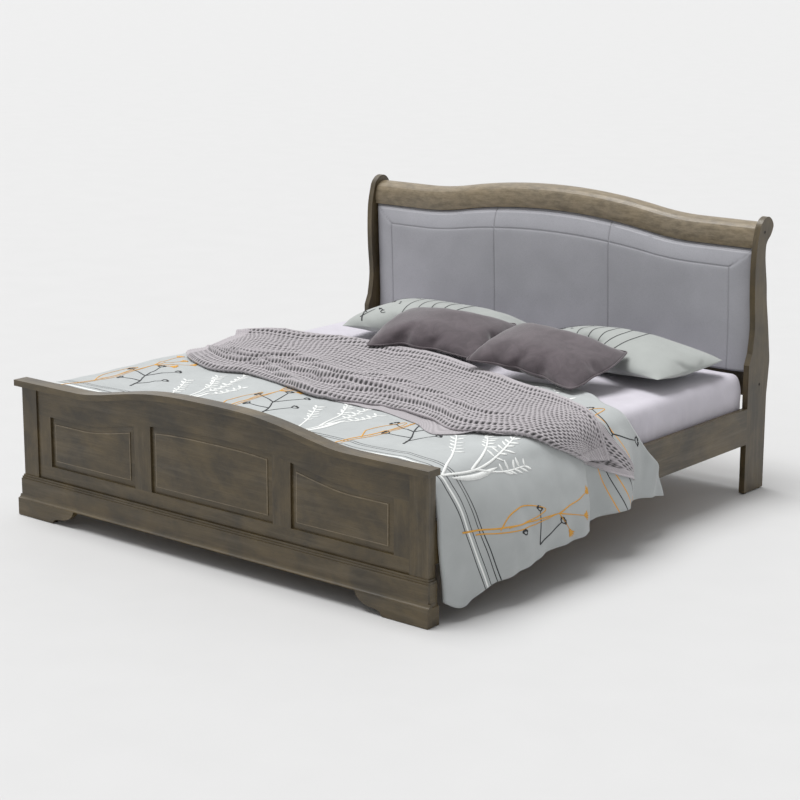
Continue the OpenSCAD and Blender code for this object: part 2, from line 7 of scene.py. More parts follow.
import bmesh
import bpy
import numpy as np
from bpy.props import FloatProperty, FloatVectorProperty, IntProperty, PointerProperty
from mathutils import Euler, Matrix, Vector


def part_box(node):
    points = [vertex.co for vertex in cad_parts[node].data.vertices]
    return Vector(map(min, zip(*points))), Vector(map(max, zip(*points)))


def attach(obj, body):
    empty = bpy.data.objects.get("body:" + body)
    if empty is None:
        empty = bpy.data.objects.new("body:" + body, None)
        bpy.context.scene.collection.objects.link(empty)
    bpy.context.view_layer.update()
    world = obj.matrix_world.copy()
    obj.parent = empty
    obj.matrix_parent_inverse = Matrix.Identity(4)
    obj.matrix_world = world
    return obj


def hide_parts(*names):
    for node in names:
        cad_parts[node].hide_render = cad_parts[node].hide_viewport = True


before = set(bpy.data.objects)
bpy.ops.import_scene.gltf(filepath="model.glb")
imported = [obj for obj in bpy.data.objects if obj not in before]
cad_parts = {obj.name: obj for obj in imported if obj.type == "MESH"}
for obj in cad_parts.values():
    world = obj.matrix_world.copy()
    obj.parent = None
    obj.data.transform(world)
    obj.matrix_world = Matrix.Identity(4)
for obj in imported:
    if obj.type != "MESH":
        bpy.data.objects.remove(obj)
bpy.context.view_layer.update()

bl_info = {
    "name": "Sleigh bed",
    "version": (1, 0, 0),
    "blender": (4, 5, 0),
    "location": "3D View > Sidebar > Sleigh bed",
    "description": "Builds the visible pieces and materials of a king-size sleigh bed",
    "category": "Object",
}

MM = 0.001


def from_hex(code):
    """Linear colour, with alpha, of an sRGB hex code."""
    srgb = [int(code[i:i + 2], 16) / 255 for i in (1, 3, 5)]
    return [c / 12.92 if c <= 0.04045 else ((c + 0.055) / 1.055) ** 2.4 for c in srgb] + [1.0]


# ---- Places taken from the frame ----

MATTRESS_LO, MATTRESS_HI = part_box("mattress")
CAP_LO, CAP_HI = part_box("footboard_cap")
PAD_LO, PAD_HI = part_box("headboard_pad")

BED_FOOT = MATTRESS_LO.y
BED_HEAD = MATTRESS_HI.y

CAP_THICKNESS = 24 * MM
HEAD_RISE = 64 * MM       # height of the headboard's crown above its ends


# ---- Settings ----

def colour(name, description, code):
    return FloatVectorProperty(name=name, description=description, subtype="COLOR", size=4,
                               min=0, max=1, default=from_hex(code))


def length(name, description, metres, low=0.0, high=3.0):
    return FloatProperty(name=name, description=description, default=metres, min=low,
                         max=high, unit="LENGTH", subtype="DISTANCE")


class WoodSettings(bpy.types.PropertyGroup):
    dark: colour("Dark stain", "Stain where it has settled in the pores", "#322A1A")
    middle: colour("Stain", "Main colour of the stained wood", "#594B2F")
    # The worn stain is also painted highlight: in the band of the rounded edges, whose width is
    # set below, on the panels' beads and over the whole crest.
    light: colour("Worn stain and painted highlight", "Colour of rubbed edges and high spots", "#B5A58A")
    edge: length("Edge wear and painted highlight", "Width of the rounded and rubbed edges", 2.8 * MM, 0.2 * MM, 6 * MM)
    streak: length("Grain width", "Width of a streak of the grain", 4 * MM, 1 * MM, 20 * MM)
    patch: length("Patch size", "Size of the blotches in the stain", 140 * MM, 20 * MM, 600 * MM)


class UpholsterySettings(bpy.types.PropertyGroup):
    leather: colour("Leatherette", "Colour of the headboard's cover", "#ABABB1")
    border: length("Border", "Width of the border round the headboard's field", 82 * MM,
                   30 * MM, 150 * MM)
    roll: length("Roll", "Radius of the pad's rounded edge", 24 * MM, 5 * MM, 40 * MM)
    seam: length("Seam", "Width of a sewn seam's groove", 7 * MM, 2 * MM, 15 * MM)


class BeddingSettings(bpy.types.PropertyGroup):
    sheet: colour("Fitted sheet", "Colour of the sheet on the mattress", "#CDC9D2")
    duvet: colour("Duvet cover", "Ground colour of the duvet cover", "#B4B8B8")
    print_white: colour("White print", "Colour of the white branches", "#F2F4F2")
    print_ochre: colour("Ochre print", "Colour of the ochre stems", "#DFA548")
    print_black: colour("Black print", "Colour of the black seed heads", "#26282B")
    throw: colour("Throw", "Colour of the knitted throw", "#B3ADB1")
    pillow: colour("Pillow case", "Colour of the pillow cases", "#A7ABA8")
    velvet: colour("Velvet", "Colour of the cushions", "#5D5559")
    duvet_thickness: length("Duvet thickness", "Thickness of the thin duvet", 15 * MM,
                            5 * MM, 20 * MM)
    stitch: length("Stitch pitch", "Distance between two holes of the throw's knit, lengthwise",
                   22 * MM, 12 * MM, 50 * MM)
    pressure: FloatProperty(name="Filling", default=6.0, min=0.5, max=20,
                            description="Pressure that fills a pillow or cushion")


class StageSettings(bpy.types.PropertyGroup):
    lens: FloatProperty(name="Lens", description="Focal length in millimetres", default=93.42,
                        min=20, max=300)
    key: FloatProperty(name="Overhead light", description="Strength of the soft light above",
                       default=3.05, min=0, max=20)
    ambient: FloatProperty(name="Ambient", description="Strength of the surrounding light",
                           default=0.47, min=0, max=5)
    frames: IntProperty(name="Cloth steps", description="Steps of each cloth simulation",
                        default=26, min=5, max=80)


SETTINGS = {"bed_wood": WoodSettings, "bed_upholstery": UpholsterySettings,
            "bed_bedding": BeddingSettings, "bed_stage": StageSettings}


# ---- Curves and meshes ----

def through(points, x):
    """Smooth curve y(x) through the points; it stays flat beyond both ends."""
    px, py = np.array(points, float).T
    x = np.asarray(x, float)
    slope = np.gradient(py, px)
    k = np.clip(np.searchsorted(px, x) - 1, 0, len(px) - 2)
    h = px[k + 1] - px[k]
    t = np.clip((x - px[k]) / h, 0, 1)
    return ((2 * t ** 3 - 3 * t ** 2 + 1) * py[k] + (t ** 3 - 2 * t ** 2 + t) * h * slope[k]
            + (3 * t ** 2 - 2 * t ** 3) * py[k + 1] + (t ** 3 - t ** 2) * h * slope[k + 1])


def path_through(points, count):
    """Points spread evenly along a smooth path through the given ones, in any dimension."""
    p = np.array(points, float)
    knots = np.concatenate([[0], np.cumsum(np.linalg.norm(np.diff(p, axis=0), axis=1))])
    fine = np.linspace(0, knots[-1], 40 * len(p))
    dense = np.stack([through(np.stack([knots, p[:, i]], 1), fine)
                      for i in range(p.shape[1])], 1)
    run = np.concatenate([[0], np.cumsum(np.linalg.norm(np.diff(dense, axis=0), axis=1))])
    even = np.linspace(0, run[-1], count)
    return np.stack([np.interp(even, run, dense[:, i]) for i in range(p.shape[1])], 1)


def smoothstep(low, high, x):
    t = np.clip((x - low) / (high - low), 0, 1)
    return t * t * (3 - 2 * t)


def bump(x, centre, width):
    return np.exp(-((x - centre) / width) ** 2)


def ripples(a, b, wavelength, seed, stretch=1.0):
    """Soft random waves in about -1 to 1 over the coordinates a and b."""
    rng = np.random.default_rng(seed)
    total = np.zeros(np.broadcast(a, b).shape)
    count = 9
    for _ in range(count):
        angle = rng.uniform(0, 2 * math.pi)
        k = 2 * math.pi / (wavelength * rng.uniform(0.7, 1.6))
        phase = rng.uniform(0, 2 * math.pi)
        total += np.sin(k * (math.cos(angle) * a / stretch + math.sin(angle) * b) + phase)
    return total / count ** 0.5 / 1.2


def stations(low, high, step, seams=(), fine=None, reach=12 * MM):
    """Rising places from low to high, a step apart, and closer together at each seam."""
    fine = fine or step / 3
    places = set(np.linspace(low, high, max(2, round((high - low) / step) + 1)))
    for seam in seams:
        places |= {seam + d for d in np.arange(-reach, reach + fine / 2, fine)}
    kept = []
    for place in sorted(p for p in places if low <= p <= high):
        if not kept or place - kept[-1] > 0.6 * fine:
            kept.append(place)
    return np.array(kept)


def quads(ids):
    """Quads that join a grid of point numbers."""
    return np.stack([ids[:-1, :-1], ids[1:, :-1], ids[1:, 1:], ids[:-1, 1:]], -1).reshape(-1, 4)


def grid_faces(nu, nv, first=0):
    """Quads of a grid of nu by nv points, counted along v first."""
    return quads(first + np.arange(nu * nv).reshape(nu, nv)).tolist()


def ring_faces(count, n):
    """Faces of a closed body: `count` rings of n points, with a face over each end."""
    faces = [[k * n + j, k * n + (j + 1) % n, (k + 1) * n + (j + 1) % n, (k + 1) * n + j]
             for k in range(count - 1) for j in range(n)]
    return faces + [list(range(n))[::-1], list(range((count - 1) * n, count * n))]


def new_object(name, points, faces, material, uv=None):
    """A mesh object in the part's frame; uv gives a pair of metres for each point."""
    mesh = bpy.data.meshes.new(name)
    mesh.from_pydata(np.asarray(points, float).reshape(-1, 3).tolist(), [], faces)
    mesh.materials.append(material)
    mesh.polygons.foreach_set("use_smooth", [True] * len(mesh.polygons))
    if uv is not None:
        layer = mesh.uv_layers.new(name="cloth")
        corners = np.empty(len(mesh.loops), int)
        mesh.loops.foreach_get("vertex_index", corners)
        layer.data.foreach_set("uv", np.asarray(uv, float).reshape(-1, 2)[corners].ravel())
    mesh.update()
    obj = bpy.data.objects.new(name, mesh)
    bpy.context.scene.collection.objects.link(obj)
    return obj


def point_value(obj, name, values):
    """Stores one number for each point of the object's mesh, for its material to read."""
    layer = obj.data.attributes.new(name, "FLOAT", "POINT")
    layer.data.foreach_set("value", np.asarray(values, float).ravel())


def face_outwards(obj):
    made = bmesh.new()
    made.from_mesh(obj.data)
    bmesh.ops.recalc_face_normals(made, faces=made.faces)
    made.to_mesh(obj.data)
    made.free()


def thicken(obj, thickness):
    solid = obj.modifiers.new("Thickness", "SOLIDIFY")
    solid.thickness, solid.offset = thickness, 0.0
    solid.use_even_offset = False


def subdivide(obj):
    rounder = obj.modifiers.new("Subdivision", "SUBSURF")
    rounder.levels = rounder.render_levels = 1


def tube(path, radius):
    """Points and faces of a round tube along a closed path of points."""
    sides = 8
    along = np.roll(path, -1, 0) - np.roll(path, 1, 0)
    along /= np.linalg.norm(along, axis=1)[:, None]
    side = np.cross(along, [0, 0, 1.0])
    side /= np.maximum(np.linalg.norm(side, axis=1), 1e-6)[:, None]
    up = np.cross(side, along)
    turn = np.linspace(0, 2 * math.pi, sides, endpoint=False)
    rings = (path[:, None] + radius * (np.cos(turn)[None, :, None] * side[:, None]
                                       + np.sin(turn)[None, :, None] * up[:, None]))
    n = len(path)
    faces = []
    for i in range(n):
        for j in range(sides):
            k, m = (i + 1) % n, (j + 1) % sides
            faces.append([i * sides + j, k * sides + j, k * sides + m, i * sides + m])
    return rings.reshape(-1, 3), faces


# ---- Materials ----

def add(tree, kind, links=None, out=0, **settings):
    """Adds a node with its settings; links maps an input to a number or to another node's
    output. Gives back the node's own output `out`."""
    made = tree.nodes.new(kind)
    for name, value in settings.items():
        setattr(made, name, value)
    for key, value in (links or {}).items():
        if isinstance(value, bpy.types.NodeSocket):
            tree.links.new(value, made.inputs[key])
        else:
            made.inputs[key].default_value = value
    return made.outputs[out]


def new_material(name, **sockets):
    """A material with one Principled shader; its steady values go on the shader's sockets."""
    made = bpy.data.materials.new(name)
    made.use_nodes = True
    shader = made.node_tree.nodes["Principled BSDF"]
    for key, value in sockets.items():
        shader.inputs[key.replace("_", " ")].default_value = value
    return made, made.node_tree, shader


def blend(tree, factor, a, b):
    return add(tree, "ShaderNodeMix", {0: factor, 6: a, 7: b}, out=2, data_type="RGBA")


def remap(tree, value, low, high, to_low=0.0, to_high=1.0):
    return add(tree, "ShaderNodeMapRange", {"Value": value, "From Min": low, "From Max": high,
                                            "To Min": to_low, "To Max": to_high})


def maths(tree, operation, a, b=0.0):
    return add(tree, "ShaderNodeMath", {0: a, 1: b}, operation=operation)


def noise(tree, place, size, detail=3.0, roughness=0.55, distortion=0.0, stretch=None):
    """Noise whose blots measure about `size` metres; stretch lengthens them along an axis."""
    scale = [1 / size] * 3
    if stretch:
        scale[stretch[0]] /= stretch[1]
    spot = add(tree, "ShaderNodeMapping", {"Vector": place, "Scale": scale})
    return add(tree, "ShaderNodeTexNoise", {"Vector": spot, "Scale": 1.0, "Detail": detail,
                                            "Roughness": roughness, "Distortion": distortion})


def darker(tone, share):
    return [c * share for c in tone[:3]] + [1.0]


def roughen(tree, shader, height, strength, depth, invert=False):
    """Gives the surface a small relief of depth metres that follows height."""
    relief = add(tree, "ShaderNodeBump", {"Height": height, "Strength": strength,
                                          "Distance": depth}, invert=invert)
    tree.links.new(relief, shader.inputs["Normal"])


def stained_wood(name, axis, settings, wear_and_highlight=0.0):
    """Birch with a grey-brown wiping stain and a satin lacquer. The stain lies in soft blotches,
    dark in the pores and streaks of the grain. Where asked, it is made pale in noisy patches:
    rubbed wear that also paints the highlight on edges and beads, and painted highlight over the
    whole crest."""
    made, tree, shader = new_material(name, IOR=1.5, Coat_Weight=0.12, Coat_Roughness=0.15)
    place = add(tree, "ShaderNodeTexCoord", out="Object")
    patches = noise(tree, place, settings.patch, 5, 0.62, 0.3, (axis, 1.5))
    figure = noise(tree, place, 8 * settings.streak, 3, 0.5, 1.2, (axis, 14))
    streaks = noise(tree, place, settings.streak, 4, 0.65, 0.0, (axis, 30))
    pores = noise(tree, place, settings.streak / 3, 2, 0.6, 0.0, (axis, 18))
    base = blend(tree, remap(tree, patches, 0.36, 0.66), list(settings.dark),
                 list(settings.middle))
    base = blend(tree, remap(tree, figure, 0.48, 0.78, 0.0, 0.28), base,
                 darker(settings.light, 0.42))
    base = blend(tree, remap(tree, streaks, 0.42, 0.72, 0.0, 0.28), base, list(settings.dark))
    base = blend(tree, remap(tree, pores, 0.60, 0.72, 0.0, 0.5), base,
                 darker(settings.dark, 0.5))
    if wear_and_highlight:
        # Pale patches: edge wear, and painted highlight on the edges, the beads and the crest.
        wear_and_highlight_patches = noise(tree, place, 18 * MM, 4, 0.7, 0.0, (axis, 3))
        base = blend(tree, remap(tree, wear_and_highlight_patches, 0.36, 0.62, 0.45 * wear_and_highlight, wear_and_highlight), base,
                     list(settings.light))
    tree.links.new(base, shader.inputs["Base Color"])
    tree.links.new(remap(tree, streaks, 0.3, 0.8, 0.36, 0.54), shader.inputs["Roughness"])
    roughen(tree, shader, streaks, 0.25, 0.5 * MM)
    return made


def raw_softwood(name, axis):
    """Sawn and planed pine without a finish: pale straw with darker growth rings, dry and
    almost matt."""
    made, tree, shader = new_material(name, IOR=1.5)
    place = add(tree, "ShaderNodeTexCoord", out="Object")
    rings = noise(tree, place, 14 * MM, 3, 0.5, 0.8, (axis, 40))
    fibres = noise(tree, place, 2 * MM, 3, 0.6, 0.0, (axis, 40))
    base = blend(tree, remap(tree, rings, 0.4, 0.68), from_hex("#D9C19A"), from_hex("#B8935F"))
    base = blend(tree, remap(tree, fibres, 0.4, 0.7, 0.0, 0.3), base, from_hex("#9C7A4E"))
    tree.links.new(base, shader.inputs["Base Color"])
    tree.links.new(remap(tree, fibres, 0.3, 0.7, 0.62, 0.78), shader.inputs["Roughness"])
    roughen(tree, shader, fibres, 0.3, 0.4 * MM)
    return made


def plywood():
    """Birch plywood with a sanded face: even, pale and slightly mottled, with fine fibres."""
    made, tree, shader = new_material("Sanded_birch_plywood", IOR=1.5)
    place = add(tree, "ShaderNodeTexCoord", out="Object")
    mottle = noise(tree, place, 60 * MM, 4, 0.6, 0.4, (0, 3))
    fibres = noise(tree, place, 1.5 * MM, 2, 0.6, 0.0, (0, 30))
    base = blend(tree, remap(tree, mottle, 0.35, 0.7), from_hex("#CDB389"), from_hex("#B7986A"))
    base = blend(tree, remap(tree, fibres, 0.45, 0.7, 0.0, 0.25), base, from_hex("#94774D"))
    tree.links.new(base, shader.inputs["Base Color"])
    tree.links.new(remap(tree, mottle, 0.3, 0.7, 0.55, 0.7), shader.inputs["Roughness"])
    roughen(tree, shader, fibres, 0.2, 0.3 * MM)
    return made


def plated_steel():
    """Zinc-plated steel, pressed: a dull blue-grey metal with soft spangle and fine rubbing."""
    made, tree, shader = new_material("Zinc_plated_steel", Metallic=1.0)
    place = add(tree, "ShaderNodeTexCoord", out="Object")
    spangle = add(tree, "ShaderNodeTexVoronoi", {"Vector": place, "Scale": 1 / (6 * MM)},
                  out="Color")
    rub = noise(tree, place, 1.2 * MM, 3, 0.6, 0.0, (2, 14))
    grey = add(tree, "ShaderNodeRGBToBW", {0: spangle})
    base = blend(tree, remap(tree, grey, 0.2, 0.9), from_hex("#9EA2A6"), from_hex("#C3C7CA"))
    tree.links.new(base, shader.inputs["Base Color"])
    tree.links.new(remap(tree, rub, 0.3, 0.7, 0.28, 0.48), shader.inputs["Roughness"])
    roughen(tree, shader, rub, 0.08, 0.1 * MM)
    return made


def black_steel():
    """Steel blackened in hot oil: near-black, with a low satin gloss and browner high spots."""
    made, tree, shader = new_material("Oil_blackened_steel", Metallic=1.0)
    place = add(tree, "ShaderNodeTexCoord", out="Object")
    cloud = noise(tree, place, 4 * MM, 4, 0.6)
    base = blend(tree, remap(tree, cloud, 0.35, 0.7), from_hex("#1B1A19"), from_hex("#3A3632"))
    tree.links.new(base, shader.inputs["Base Color"])
    tree.links.new(remap(tree, cloud, 0.3, 0.7, 0.34, 0.52), shader.inputs["Roughness"])
    return made


def moulded_plastic():
    """Black polypropylene, moulded with a fine spark texture: soft sheen and no shine."""
    made, tree, shader = new_material("Moulded_black_polypropylene", IOR=1.49)
    place = add(tree, "ShaderNodeTexCoord", out="Object")
    spark = noise(tree, place, 0.8 * MM, 2, 0.6)
    base = blend(tree, remap(tree, spark, 0.35, 0.7), from_hex("#141414"), from_hex("#242424"))
    tree.links.new(base, shader.inputs["Base Color"])
    tree.links.new(remap(tree, spark, 0.3, 0.7, 0.42, 0.6), shader.inputs["Roughness"])
    roughen(tree, shader, spark, 0.2, 0.1 * MM)
    return made


def leatherette(settings):
    """Grey leatherette, calendered with a pebble grain and stretched over foam: a soft wide
    highlight, small pebbles with painted shade in the low ground between them, faint clouds of
    tone and painted shade in the grooves of the seams."""
    made, tree, shader = new_material("Pebbled_grey_leatherette", IOR=1.5, Coat_Weight=0.12,
                                      Coat_Roughness=0.4)
    place = add(tree, "ShaderNodeTexCoord", out="Object")
    clouds = noise(tree, place, 160 * MM, 4, 0.55, 0.4)
    # Real pebbles are 1 mm wide; these are 3 mm, so that they still show from across the room.
    pebbles = add(tree, "ShaderNodeTexVoronoi", {"Vector": place, "Scale": 1 / (3 * MM)})
    seam = add(tree, "ShaderNodeAttribute", out="Fac", attribute_name="seam")
    base = blend(tree, remap(tree, clouds, 0.3, 0.7), darker(settings.leather, 0.93),
                 darker(settings.leather, 1.05))
    # Painted shade: darker where the pebble relief is low, between the pebbles.
    base = blend(tree, remap(tree, pebbles, 0.35, 0.75, 0.0, 0.35), base,
                 darker(settings.leather, 0.72))
    # Painted shade in the grooves of the sewn seams.
    base = blend(tree, maths(tree, "MULTIPLY", seam, 0.35), base, darker(settings.leather, 0.3))
    tree.links.new(base, shader.inputs["Base Color"])
    tree.links.new(remap(tree, pebbles, 0.1, 0.8, 0.42, 0.56), shader.inputs["Roughness"])
    roughen(tree, shader, pebbles, 0.18, 0.5 * MM, invert=True)
    return made


def weave_relief(tree, shader, uv, thread):
    """Bump of a plain weave with threads `thread` metres apart, and its height."""
    spot = add(tree, "ShaderNodeSeparateXYZ", {0: uv}).node
    warp = maths(tree, "SINE", maths(tree, "MULTIPLY", spot.outputs[0], 2 * math.pi / thread))
    weft = maths(tree, "SINE", maths(tree, "MULTIPLY", spot.outputs[1], 2 * math.pi / thread))
    height = maths(tree, "MULTIPLY", warp, weft)
    roughen(tree, shader, height, 0.25, 0.4 * MM)
    return height


def woven_cotton(name, base_colour, stripes=(), thread=2.4 * MM, roughness=0.85):
    """Washed cotton in a plain weave: matt with a faint fuzz and faint clouds of lighter and
    darker tone, with painted shade a little darker in the hollows of the weave.
    Real threads are 0.4 mm apart; they are drawn six times coarser so that they show.
    stripes lists (place along the cloth, width, colour) of the printed lines."""
    made, tree, shader = new_material(name, IOR=1.5, Sheen_Weight=0.25, Sheen_Roughness=0.5,
                                      Roughness=roughness)
    uv = add(tree, "ShaderNodeTexCoord", out="UV")
    height = weave_relief(tree, shader, uv, thread)
    place = add(tree, "ShaderNodeTexCoord", out="Object")
    clouds = noise(tree, place, 120 * MM, 4, 0.55)
    base = blend(tree, remap(tree, clouds, 0.3, 0.7), darker(base_colour, 0.93),
                 darker(base_colour, 1.04))
    # Painted shade: a little darker where the weave's relief is low.
    base = blend(tree, remap(tree, height, -1.0, 1.0, 0.12, 0.0), base,
                 darker(base_colour, 0.6))
    along = add(tree, "ShaderNodeSeparateXYZ", {0: uv}, out="Y")
    for at, width, tone in stripes:
        line = maths(tree, "COMPARE", along, at)
        line.node.inputs[2].default_value = width / 2
        base = blend(tree, line, base, list(tone))
    tree.links.new(base, shader.inputs["Base Color"])
    return made


def printed_ink(name, tone):
    """Pigment printed on the cotton: matt, and a little broken where the weave shows."""
    made, tree, shader = new_material(name, IOR=1.5, Roughness=0.85)
    place = add(tree, "ShaderNodeTexCoord", out="Object")
    breaks = noise(tree, place, 5 * MM, 3, 0.6)
    base = blend(tree, remap(tree, breaks, 0.35, 0.7), list(tone), darker(tone, 0.8))
    tree.links.new(base, shader.inputs["Base Color"])
    tree.links.new(add(tree, "ShaderNodeBump", {"Height": breaks, "Strength": 0.1,
                                                "Distance": 0.2 * MM}),
                   shader.inputs["Normal"])
    return made


def knitted_acrylic(settings):
    """Thick acrylic yarn, knitted: matt and fuzzy, pale on the puffed stitches, with painted
    shade nearly black deep in the holes between them and in the grooves of the border's ribs, and
    with the twist of the yarn as fine relief."""
    made, tree, shader = new_material("Knitted_mauve_acrylic", IOR=1.47, Sheen_Weight=0.4,
                                      Sheen_Roughness=0.6, Roughness=0.95)
    depth = add(tree, "ShaderNodeAttribute", out="Fac", attribute_name="hole")
    uv = add(tree, "ShaderNodeTexCoord", out="UV")
    # The twist of a yarn repeats about every 5 mm.
    twist = add(tree, "ShaderNodeTexWave", {"Vector": uv, "Scale": 1 / (5 * MM) / 3.2,
                                            "Distortion": 3.0, "Detail": 2.0},
                bands_direction="DIAGONAL")
    place = add(tree, "ShaderNodeTexCoord", out="Object")
    fuzz = noise(tree, place, 2.5 * MM, 3, 0.7)
    base = blend(tree, remap(tree, twist, 0.1, 0.9), darker(settings.throw, 0.86),
                 darker(settings.throw, 1.08))
    base = blend(tree, remap(tree, fuzz, 0.35, 0.7, 0.0, 0.3), base,
                 darker(settings.throw, 0.75))
    # Painted shade: the holes of the knit, and the grooves between the border's ribs, go nearly
    # black.
    base = blend(tree, depth, base, darker(settings.throw, 0.05))
    tree.links.new(base, shader.inputs["Base Color"])
    roughen(tree, shader, twist, 0.35, 0.8 * MM)
    return made


def velvet(settings):
    """Short-pile polyester velvet: dark and soft, with a pale bloom at its turning edges and
    brushed patches where the pile lies over."""
    made, tree, shader = new_material("Brushed_mauve_velvet", IOR=1.45, Sheen_Weight=0.75,
                                      Sheen_Roughness=0.38, Roughness=0.9)
    place = add(tree, "ShaderNodeTexCoord", out="Object")
    brushed = noise(tree, place, 70 * MM, 5, 0.65, 1.0)
    pile = noise(tree, place, 1.6 * MM, 2, 0.7)
    base = blend(tree, remap(tree, brushed, 0.35, 0.68), darker(settings.velvet, 0.8),
                 darker(settings.velvet, 1.22))
    base = blend(tree, remap(tree, pile, 0.35, 0.7, 0.0, 0.35), base,
                 darker(settings.velvet, 0.62))
    tree.links.new(base, shader.inputs["Base Color"])
    roughen(tree, shader, pile, 0.3, 0.4 * MM)
    return made


def pale_floor():
    """Painted studio floor: nearly white and matt, with barely visible roller marks."""
    made, tree, shader = new_material("Painted_white_floor", IOR=1.5, Roughness=0.75)
    place = add(tree, "ShaderNodeTexCoord", out="Object")
    marks = noise(tree, place, 250 * MM, 3, 0.5)
    base = blend(tree, marks, from_hex("#C6C6C6"), from_hex("#CACACA"))
    tree.links.new(base, shader.inputs["Base Color"])
    return made


# ---- Stained wood ----

GRAIN_X = ["footboard_cap", "footboard_top_rail", "footboard_bottom_rail", "base_board",
           "base_moulding", "cove_moulding", "bracket_foot_left", "bracket_foot_right",
           "crest_rail", "headboard_rail", "headboard_stretcher", "headboard_back_panel"]
GRAIN_Y = ["base_return_left", "base_return_right", "bracket_return_left",
           "bracket_return_right", "side_rail_left", "side_rail_right"]
GRAIN_Z = ["footboard_post_left", "footboard_post_right", "footboard_stile_left",
           "footboard_stile_right", "footboard_muntin_left", "footboard_muntin_right",
           "headboard_side_left", "headboard_side_right", "center_leg_foot",
           "center_leg_middle", "center_leg_head"]


def smooth_by_angle():
    """Node group that smooths a mesh except across edges sharper than its angle."""
    name = "Smooth_below_angle"
    if name in bpy.data.node_groups:
        return bpy.data.node_groups[name]
    group = bpy.data.node_groups.new(name, "GeometryNodeTree")
    group.interface.new_socket("Geometry", in_out="INPUT", socket_type="NodeSocketGeometry")
    group.interface.new_socket("Geometry", in_out="OUTPUT", socket_type="NodeSocketGeometry")
    start = add(group, "NodeGroupInput")
    angle = add(group, "GeometryNodeInputMeshEdgeAngle")
    soft = add(group, "FunctionNodeCompare", {0: angle, 1: math.radians(24)},
               data_type="FLOAT", operation="LESS_THAN")
    faces = add(group, "GeometryNodeSetShadeSmooth", {"Geometry": start}, domain="FACE")
    edges = add(group, "GeometryNodeSetShadeSmooth", {"Geometry": faces, 2: soft},
                domain="EDGE")
    group.links.new(edges, group.nodes.new("NodeGroupOutput").inputs[0])
    return group


def round_edges(obj, width, wear_and_highlight_slot=-1):
    """Merges flat faces, rounds the sharp edges and shades the rest smooth."""
    flat = obj.modifiers.new("Flat faces", "DECIMATE")
    flat.decimate_type, flat.angle_limit = "DISSOLVE", math.radians(0.6)
    edges = obj.modifiers.new("Rounded edges", "BEVEL")
    edges.width, edges.segments = width, 2
    edges.limit_method, edges.angle_limit = "ANGLE", math.radians(28)
    # The rounded edges take the material that is worn pale and painted as highlight.
    edges.material = wear_and_highlight_slot
    smooth = obj.modifiers.new("Smooth", "NODES")
    smooth.node_group = smooth_by_angle()


def give(obj, *materials):
    obj.data.materials.clear()
    for material in materials:
        obj.data.materials.append(material)


class BED_OT_wood(bpy.types.Operator):
    """Stains the wooden parts along their grain, rounds and rubs their edges, and paints pale
    highlight on the edges and over the crest
    """
    bl_idname = "bed.wood"
    bl_label = "Stained wood"

    def execute(self, context):
        settings = context.scene.bed_wood
        # The headboard's round crest is made pale all over: painted highlight that stands in for
        # the sheen of its polished round.
        crest = stained_wood("Rubbed_birch_crest", 0, settings, wear_and_highlight=0.42)
        for axis, (letter, names) in enumerate(zip("XYZ", (GRAIN_X, GRAIN_Y, GRAIN_Z))):
            body = stained_wood("Stained_birch_grain_" + letter, axis, settings)
            # The edge material is the stain rubbed pale, which also paints the highlight on the
            # rounded edges.
            edge = stained_wood("Rubbed_birch_edges_" + letter, axis, settings, wear_and_highlight=1.0)
            for name in names:
                part = bpy.data.objects[name]
                give(part, crest if name == "crest_rail" else body, edge)
                round_edges(part, settings.edge, wear_and_highlight_slot=1)
        return {"FINISHED"}


def crown(x):
    """Height of the footboard's crown above its ends: a smooth S on each side of the middle."""
    rise = CAP_HI.z - CAP_LO.z - CAP_THICKNESS
    reach = 690 * MM
    return rise * (1 + np.cos(math.pi * np.minimum(1, np.abs(x) / reach) ** 1.55)) / 2


PANELS = ("footboard_panel_left", "footboard_panel_center", "footboard_panel_right")
# Section of a raised panel from the groove inwards: how far in from the opening's edge, and
# how far behind the raised field, in millimetres
PANEL_SECTION = [(-8, 8), (-1, 8), (2.5, 8), (8, 7.0), (14, 5.7), (20, 4.3), (23.5, 3.5),
                 (24.5, 3.5), (25, 1.2), (26.5, 0.3), (29, 0)]


class BED_OT_panels(bpy.types.Operator):
    """Carves the three raised panels of the footboard, with their sloping bevels and beads"""
    bl_idname = "bed.panels"
    bl_label = "Raised panels"

    def execute(self, context):
        settings = context.scene.bed_wood
        face = stained_wood("Stained_birch_panel", 0, settings)
        # The bead is rubbed pale, and the paleness also paints the highlight lines round the
        # bevels.
        bead = stained_wood("Rubbed_birch_bead", 0, settings, wear_and_highlight=0.3)
        post_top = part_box("footboard_post_left")[1].z
        rail_depth = 106 * MM
        for name in PANELS:
            lo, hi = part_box(name)
            tongue = -PANEL_SECTION[0][0] * MM
            x0, x1, z0 = lo.x + tongue, hi.x - tongue, lo.z + tongue
            across = np.linspace(0, 1, 49)

            def ring(inset, y):
                left, right = x0 + inset, x1 - inset
                xs = right + (left - right) * across
                tops = post_top - rail_depth - inset + crown(xs)
                line = [(left, y, z0 + inset), (right, y, z0 + inset)]
                return line + [(x, y, z) for x, z in zip(xs, tops)]

            rings = [ring(inset * MM, lo.y + back * MM) for inset, back in PANEL_SECTION]
            rings.insert(0, ring(-tongue, hi.y))
            points = [p for r in rings for p in r]
            n = len(rings[0])
            panel = new_object("carved_" + name, points, ring_faces(len(rings), n), face)
            panel.data.materials.append(bead)
            # The last two bands, the bead at the field's edge, take the pale bead material: wear
            # and painted highlight.
            for k in range(n * (len(rings) - 3), n * (len(rings) - 1)):
                panel.data.polygons[k].material_index = 1
            face_outwards(panel)
            smooth = panel.modifiers.new("Smooth", "NODES")
            smooth.node_group = smooth_by_angle()
            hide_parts(name)
            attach(panel, "root")
        return {"FINISHED"}


